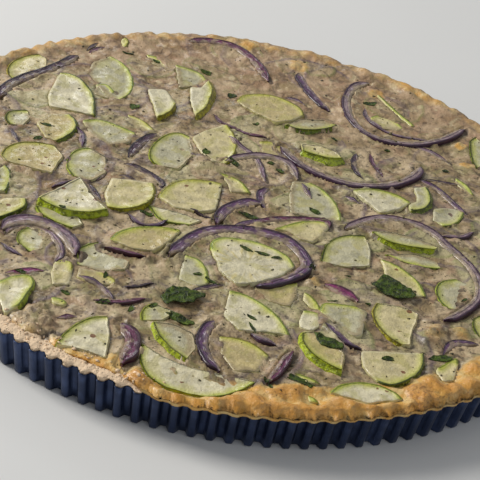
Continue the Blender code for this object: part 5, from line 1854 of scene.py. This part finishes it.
@dataclass
class Sprinkles:
    """Small things that lie all over the tart: dried herb, pepper and pastry crumbs."""

    seed: int = 5

    @staticmethod
    def lens(place: Vector, normal: Vector, size: float, flat: float, draw: np.random.Generator) -> Shape:
        """One small irregular flake or grain."""
        corners = 6
        angle = np.linspace(0, 2 * np.pi, corners, endpoint=False) + draw.uniform(0, 1)
        away = size * draw.uniform(0.55, 1.25, corners)
        stretch = draw.uniform(0.4, 1.0)
        rim = np.column_stack([away * np.cos(angle), away * stretch * np.sin(angle),
                               draw.uniform(-0.15, 0.2, corners) * size])
        turn = draw.uniform(0, 2 * np.pi)
        c, s = math.cos(turn), math.sin(turn)
        spin = np.array([[c, -s, 0], [s, c, 0], [0, 0, 1]])
        local = np.vstack([rim, [(0, 0, flat * size)], [(0, 0, -flat * size)]]) @ spin.T
        frame_of = np.array(normal.to_track_quat("Z", "Y").to_matrix())
        points = local @ frame_of.T + np.array(place) + np.array(normal) * 0.1
        faces = []
        for i in range(corners):
            j = (i + 1) % corners
            faces += [(i, j, corners), (j, i, corners + 1)]
        return Shape(points, faces)

    def scatter(self, name: str, count: int, sizes: Pair, flat: float, ground: Ground,
                material: Material, slot: str, band: tuple[float, float, float, float]) -> None:
        """Scatters grains of one kind.

        Args:
            name: The piece's name.
            count: How many.
            sizes: Smallest and largest radius.
            flat: Height of a grain over its radius.
            ground: What they lie on.
            material: Their finish.
            slot: Passed on to the piece.
            band: Inner and outer radius, and first and last direction in degrees.
        """
        draw = np.random.default_rng(self.seed + count)
        inner, outer, first, last = band
        shapes = []
        while len(shapes) < count:
            radius = math.sqrt(draw.uniform(inner ** 2, outer ** 2))
            angle = math.radians(draw.uniform(first, last))
            size = sizes[0] + (sizes[1] - sizes[0]) * draw.uniform() ** 2.2
            hit = ground.drop(radius * math.cos(angle), radius * math.sin(angle))
            if hit is None or hit[1].z < 0.2:
                continue
            shapes.append(self.lens(hit[0], hit[1], size, flat, draw))
        whole = joined(shapes)
        whole.marks = {"brown": np.full(len(whole.points), 0.15)}
        whole.piece(name, material, slot)


@dataclass
class Studio:
    """Pale floor, soft light and the camera of the picture."""

    target: Pair = (2.032, -7.668)
    distance: float = 752.899
    elevation: float = 32.41
    roll: float = 10.976
    lens: float = 130.0
    floor_colour: Colour = srgb(226, 226, 224)

    def camera(self) -> None:
        """Places the camera."""
        e, roll = math.radians(self.elevation), math.radians(self.roll)
        back = Vector((0.0, -math.cos(e), math.sin(e)))
        right, up = Vector((1.0, 0.0, 0.0)), Vector((0.0, math.sin(e), math.cos(e)))
        c, s = math.cos(roll), math.sin(roll)
        right, up = c * right + s * up, c * up - s * right
        data = bpy.data.cameras.new("camera")
        data.lens = self.lens
        data.sensor_width = 36.0
        data.clip_start, data.clip_end = 0.05, 20.0
        camera = put("camera", data)
        turned = Matrix((right, up, back)).transposed()
        place = (Vector((self.target[0], self.target[1], 0.0)) + back * self.distance) * MM
        camera.matrix_world = Matrix.Translation(place) @ turned.to_4x4()
        bpy.context.scene.camera = camera

    def light(self, name: str, place: tuple[float, float, float], size: float, power: float, colour: Colour
              ) -> None:
        """Adds a soft square light that faces the tart."""
        data = bpy.data.lights.new(name, "AREA")
        data.shape = "SQUARE"
        data.size = size
        data.energy = power
        data.color = colour
        lamp = put(name, data)
        lamp.location = place
        lamp.rotation_mode = "QUATERNION"
        lamp.rotation_quaternion = (-Vector(place)).to_track_quat("-Z", "Y")

    def build(self) -> None:
        """Builds the floor, the lights and the world, and places the camera."""
        mesh = bpy.data.meshes.new("floor")
        half = 4.0
        corners = [(-half, -half, 0), (half, -half, 0), (half, half, 0), (-half, half, 0)]
        mesh.from_pydata(corners, [], [(0, 1, 2, 3)])
        paint = Paint("floor")
        shade = paint.noise(180.0, 2.0)
        paint.colour = paint.shade(self.floor_colour, 0.96 + 0.06 * shade)
        mesh.materials.append(paint.finish(0.6))
        floor = put("floor", mesh)
        self.light("window_light", (-1.6, 0.43, 1.15), 0.8, 37.5, (1.0, 0.97, 0.92))
        self.light("fill_light", (0.8, -0.8, 0.9), 1.2, 1.6, (0.95, 0.98, 1.0))
        self.light("back_light", (-0.35, 1.1, 0.62), 0.22, 0.8, (0.97, 0.99, 1.0))
        world = bpy.data.worlds.new("studio")
        bpy.context.scene.world = world
        world.use_nodes = True
        background = world.node_tree.nodes["Background"]
        background.inputs["Color"].default_value = (0.92, 0.95, 1.0, 1.0)
        background.inputs["Strength"].default_value = 0.31
        bpy.context.scene.view_settings.view_transform = "Standard"
        self.camera()


def main() -> None:
    """Builds the tart from the tin up, then the studio."""
    logging.basicConfig(level=logging.INFO, format="%(name)s %(message)s")
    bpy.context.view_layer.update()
    Tin().build()
    pastry = Pastry().build()
    slices = Slices()
    slice_shapes = slices.build()
    ground = Ground(slice_shapes)
    strips = Strips()
    strip_shapes = strips.build(ground)
    custard = Custard().build(slices.footprints + strips.footprints)
    ground.add(strip_shapes + [custard])
    leaf_shapes = Leaves().build(ground)
    ground.add(leaf_shapes + [pastry])
    sprinkles = Sprinkles()
    herb = FleckFinish("dried_herb", srgb(58, 54, 30), srgb(98, 88, 50)).material()
    pepper = FleckFinish("pepper", srgb(92, 68, 44), srgb(132, 100, 66)).material()
    sprinkles.scatter("dried_herb_flecks", 800, (0.22, 1.0), 0.15, ground, herb, "leaf", (0, 141, 0, 360))
    sprinkles.scatter("pepper_specks", 900, (0.14, 0.36), 0.6, ground, pepper, "custard", (0, 144, 0, 360))
    crumb = PastryFinish().material()
    sprinkles.scatter("pastry_crumbs", 220, (0.35, 1.2), 0.55, ground, crumb, "crust", (140, 147, -175, -95))
    Studio().build()


if __name__ == "__main__":
    main()
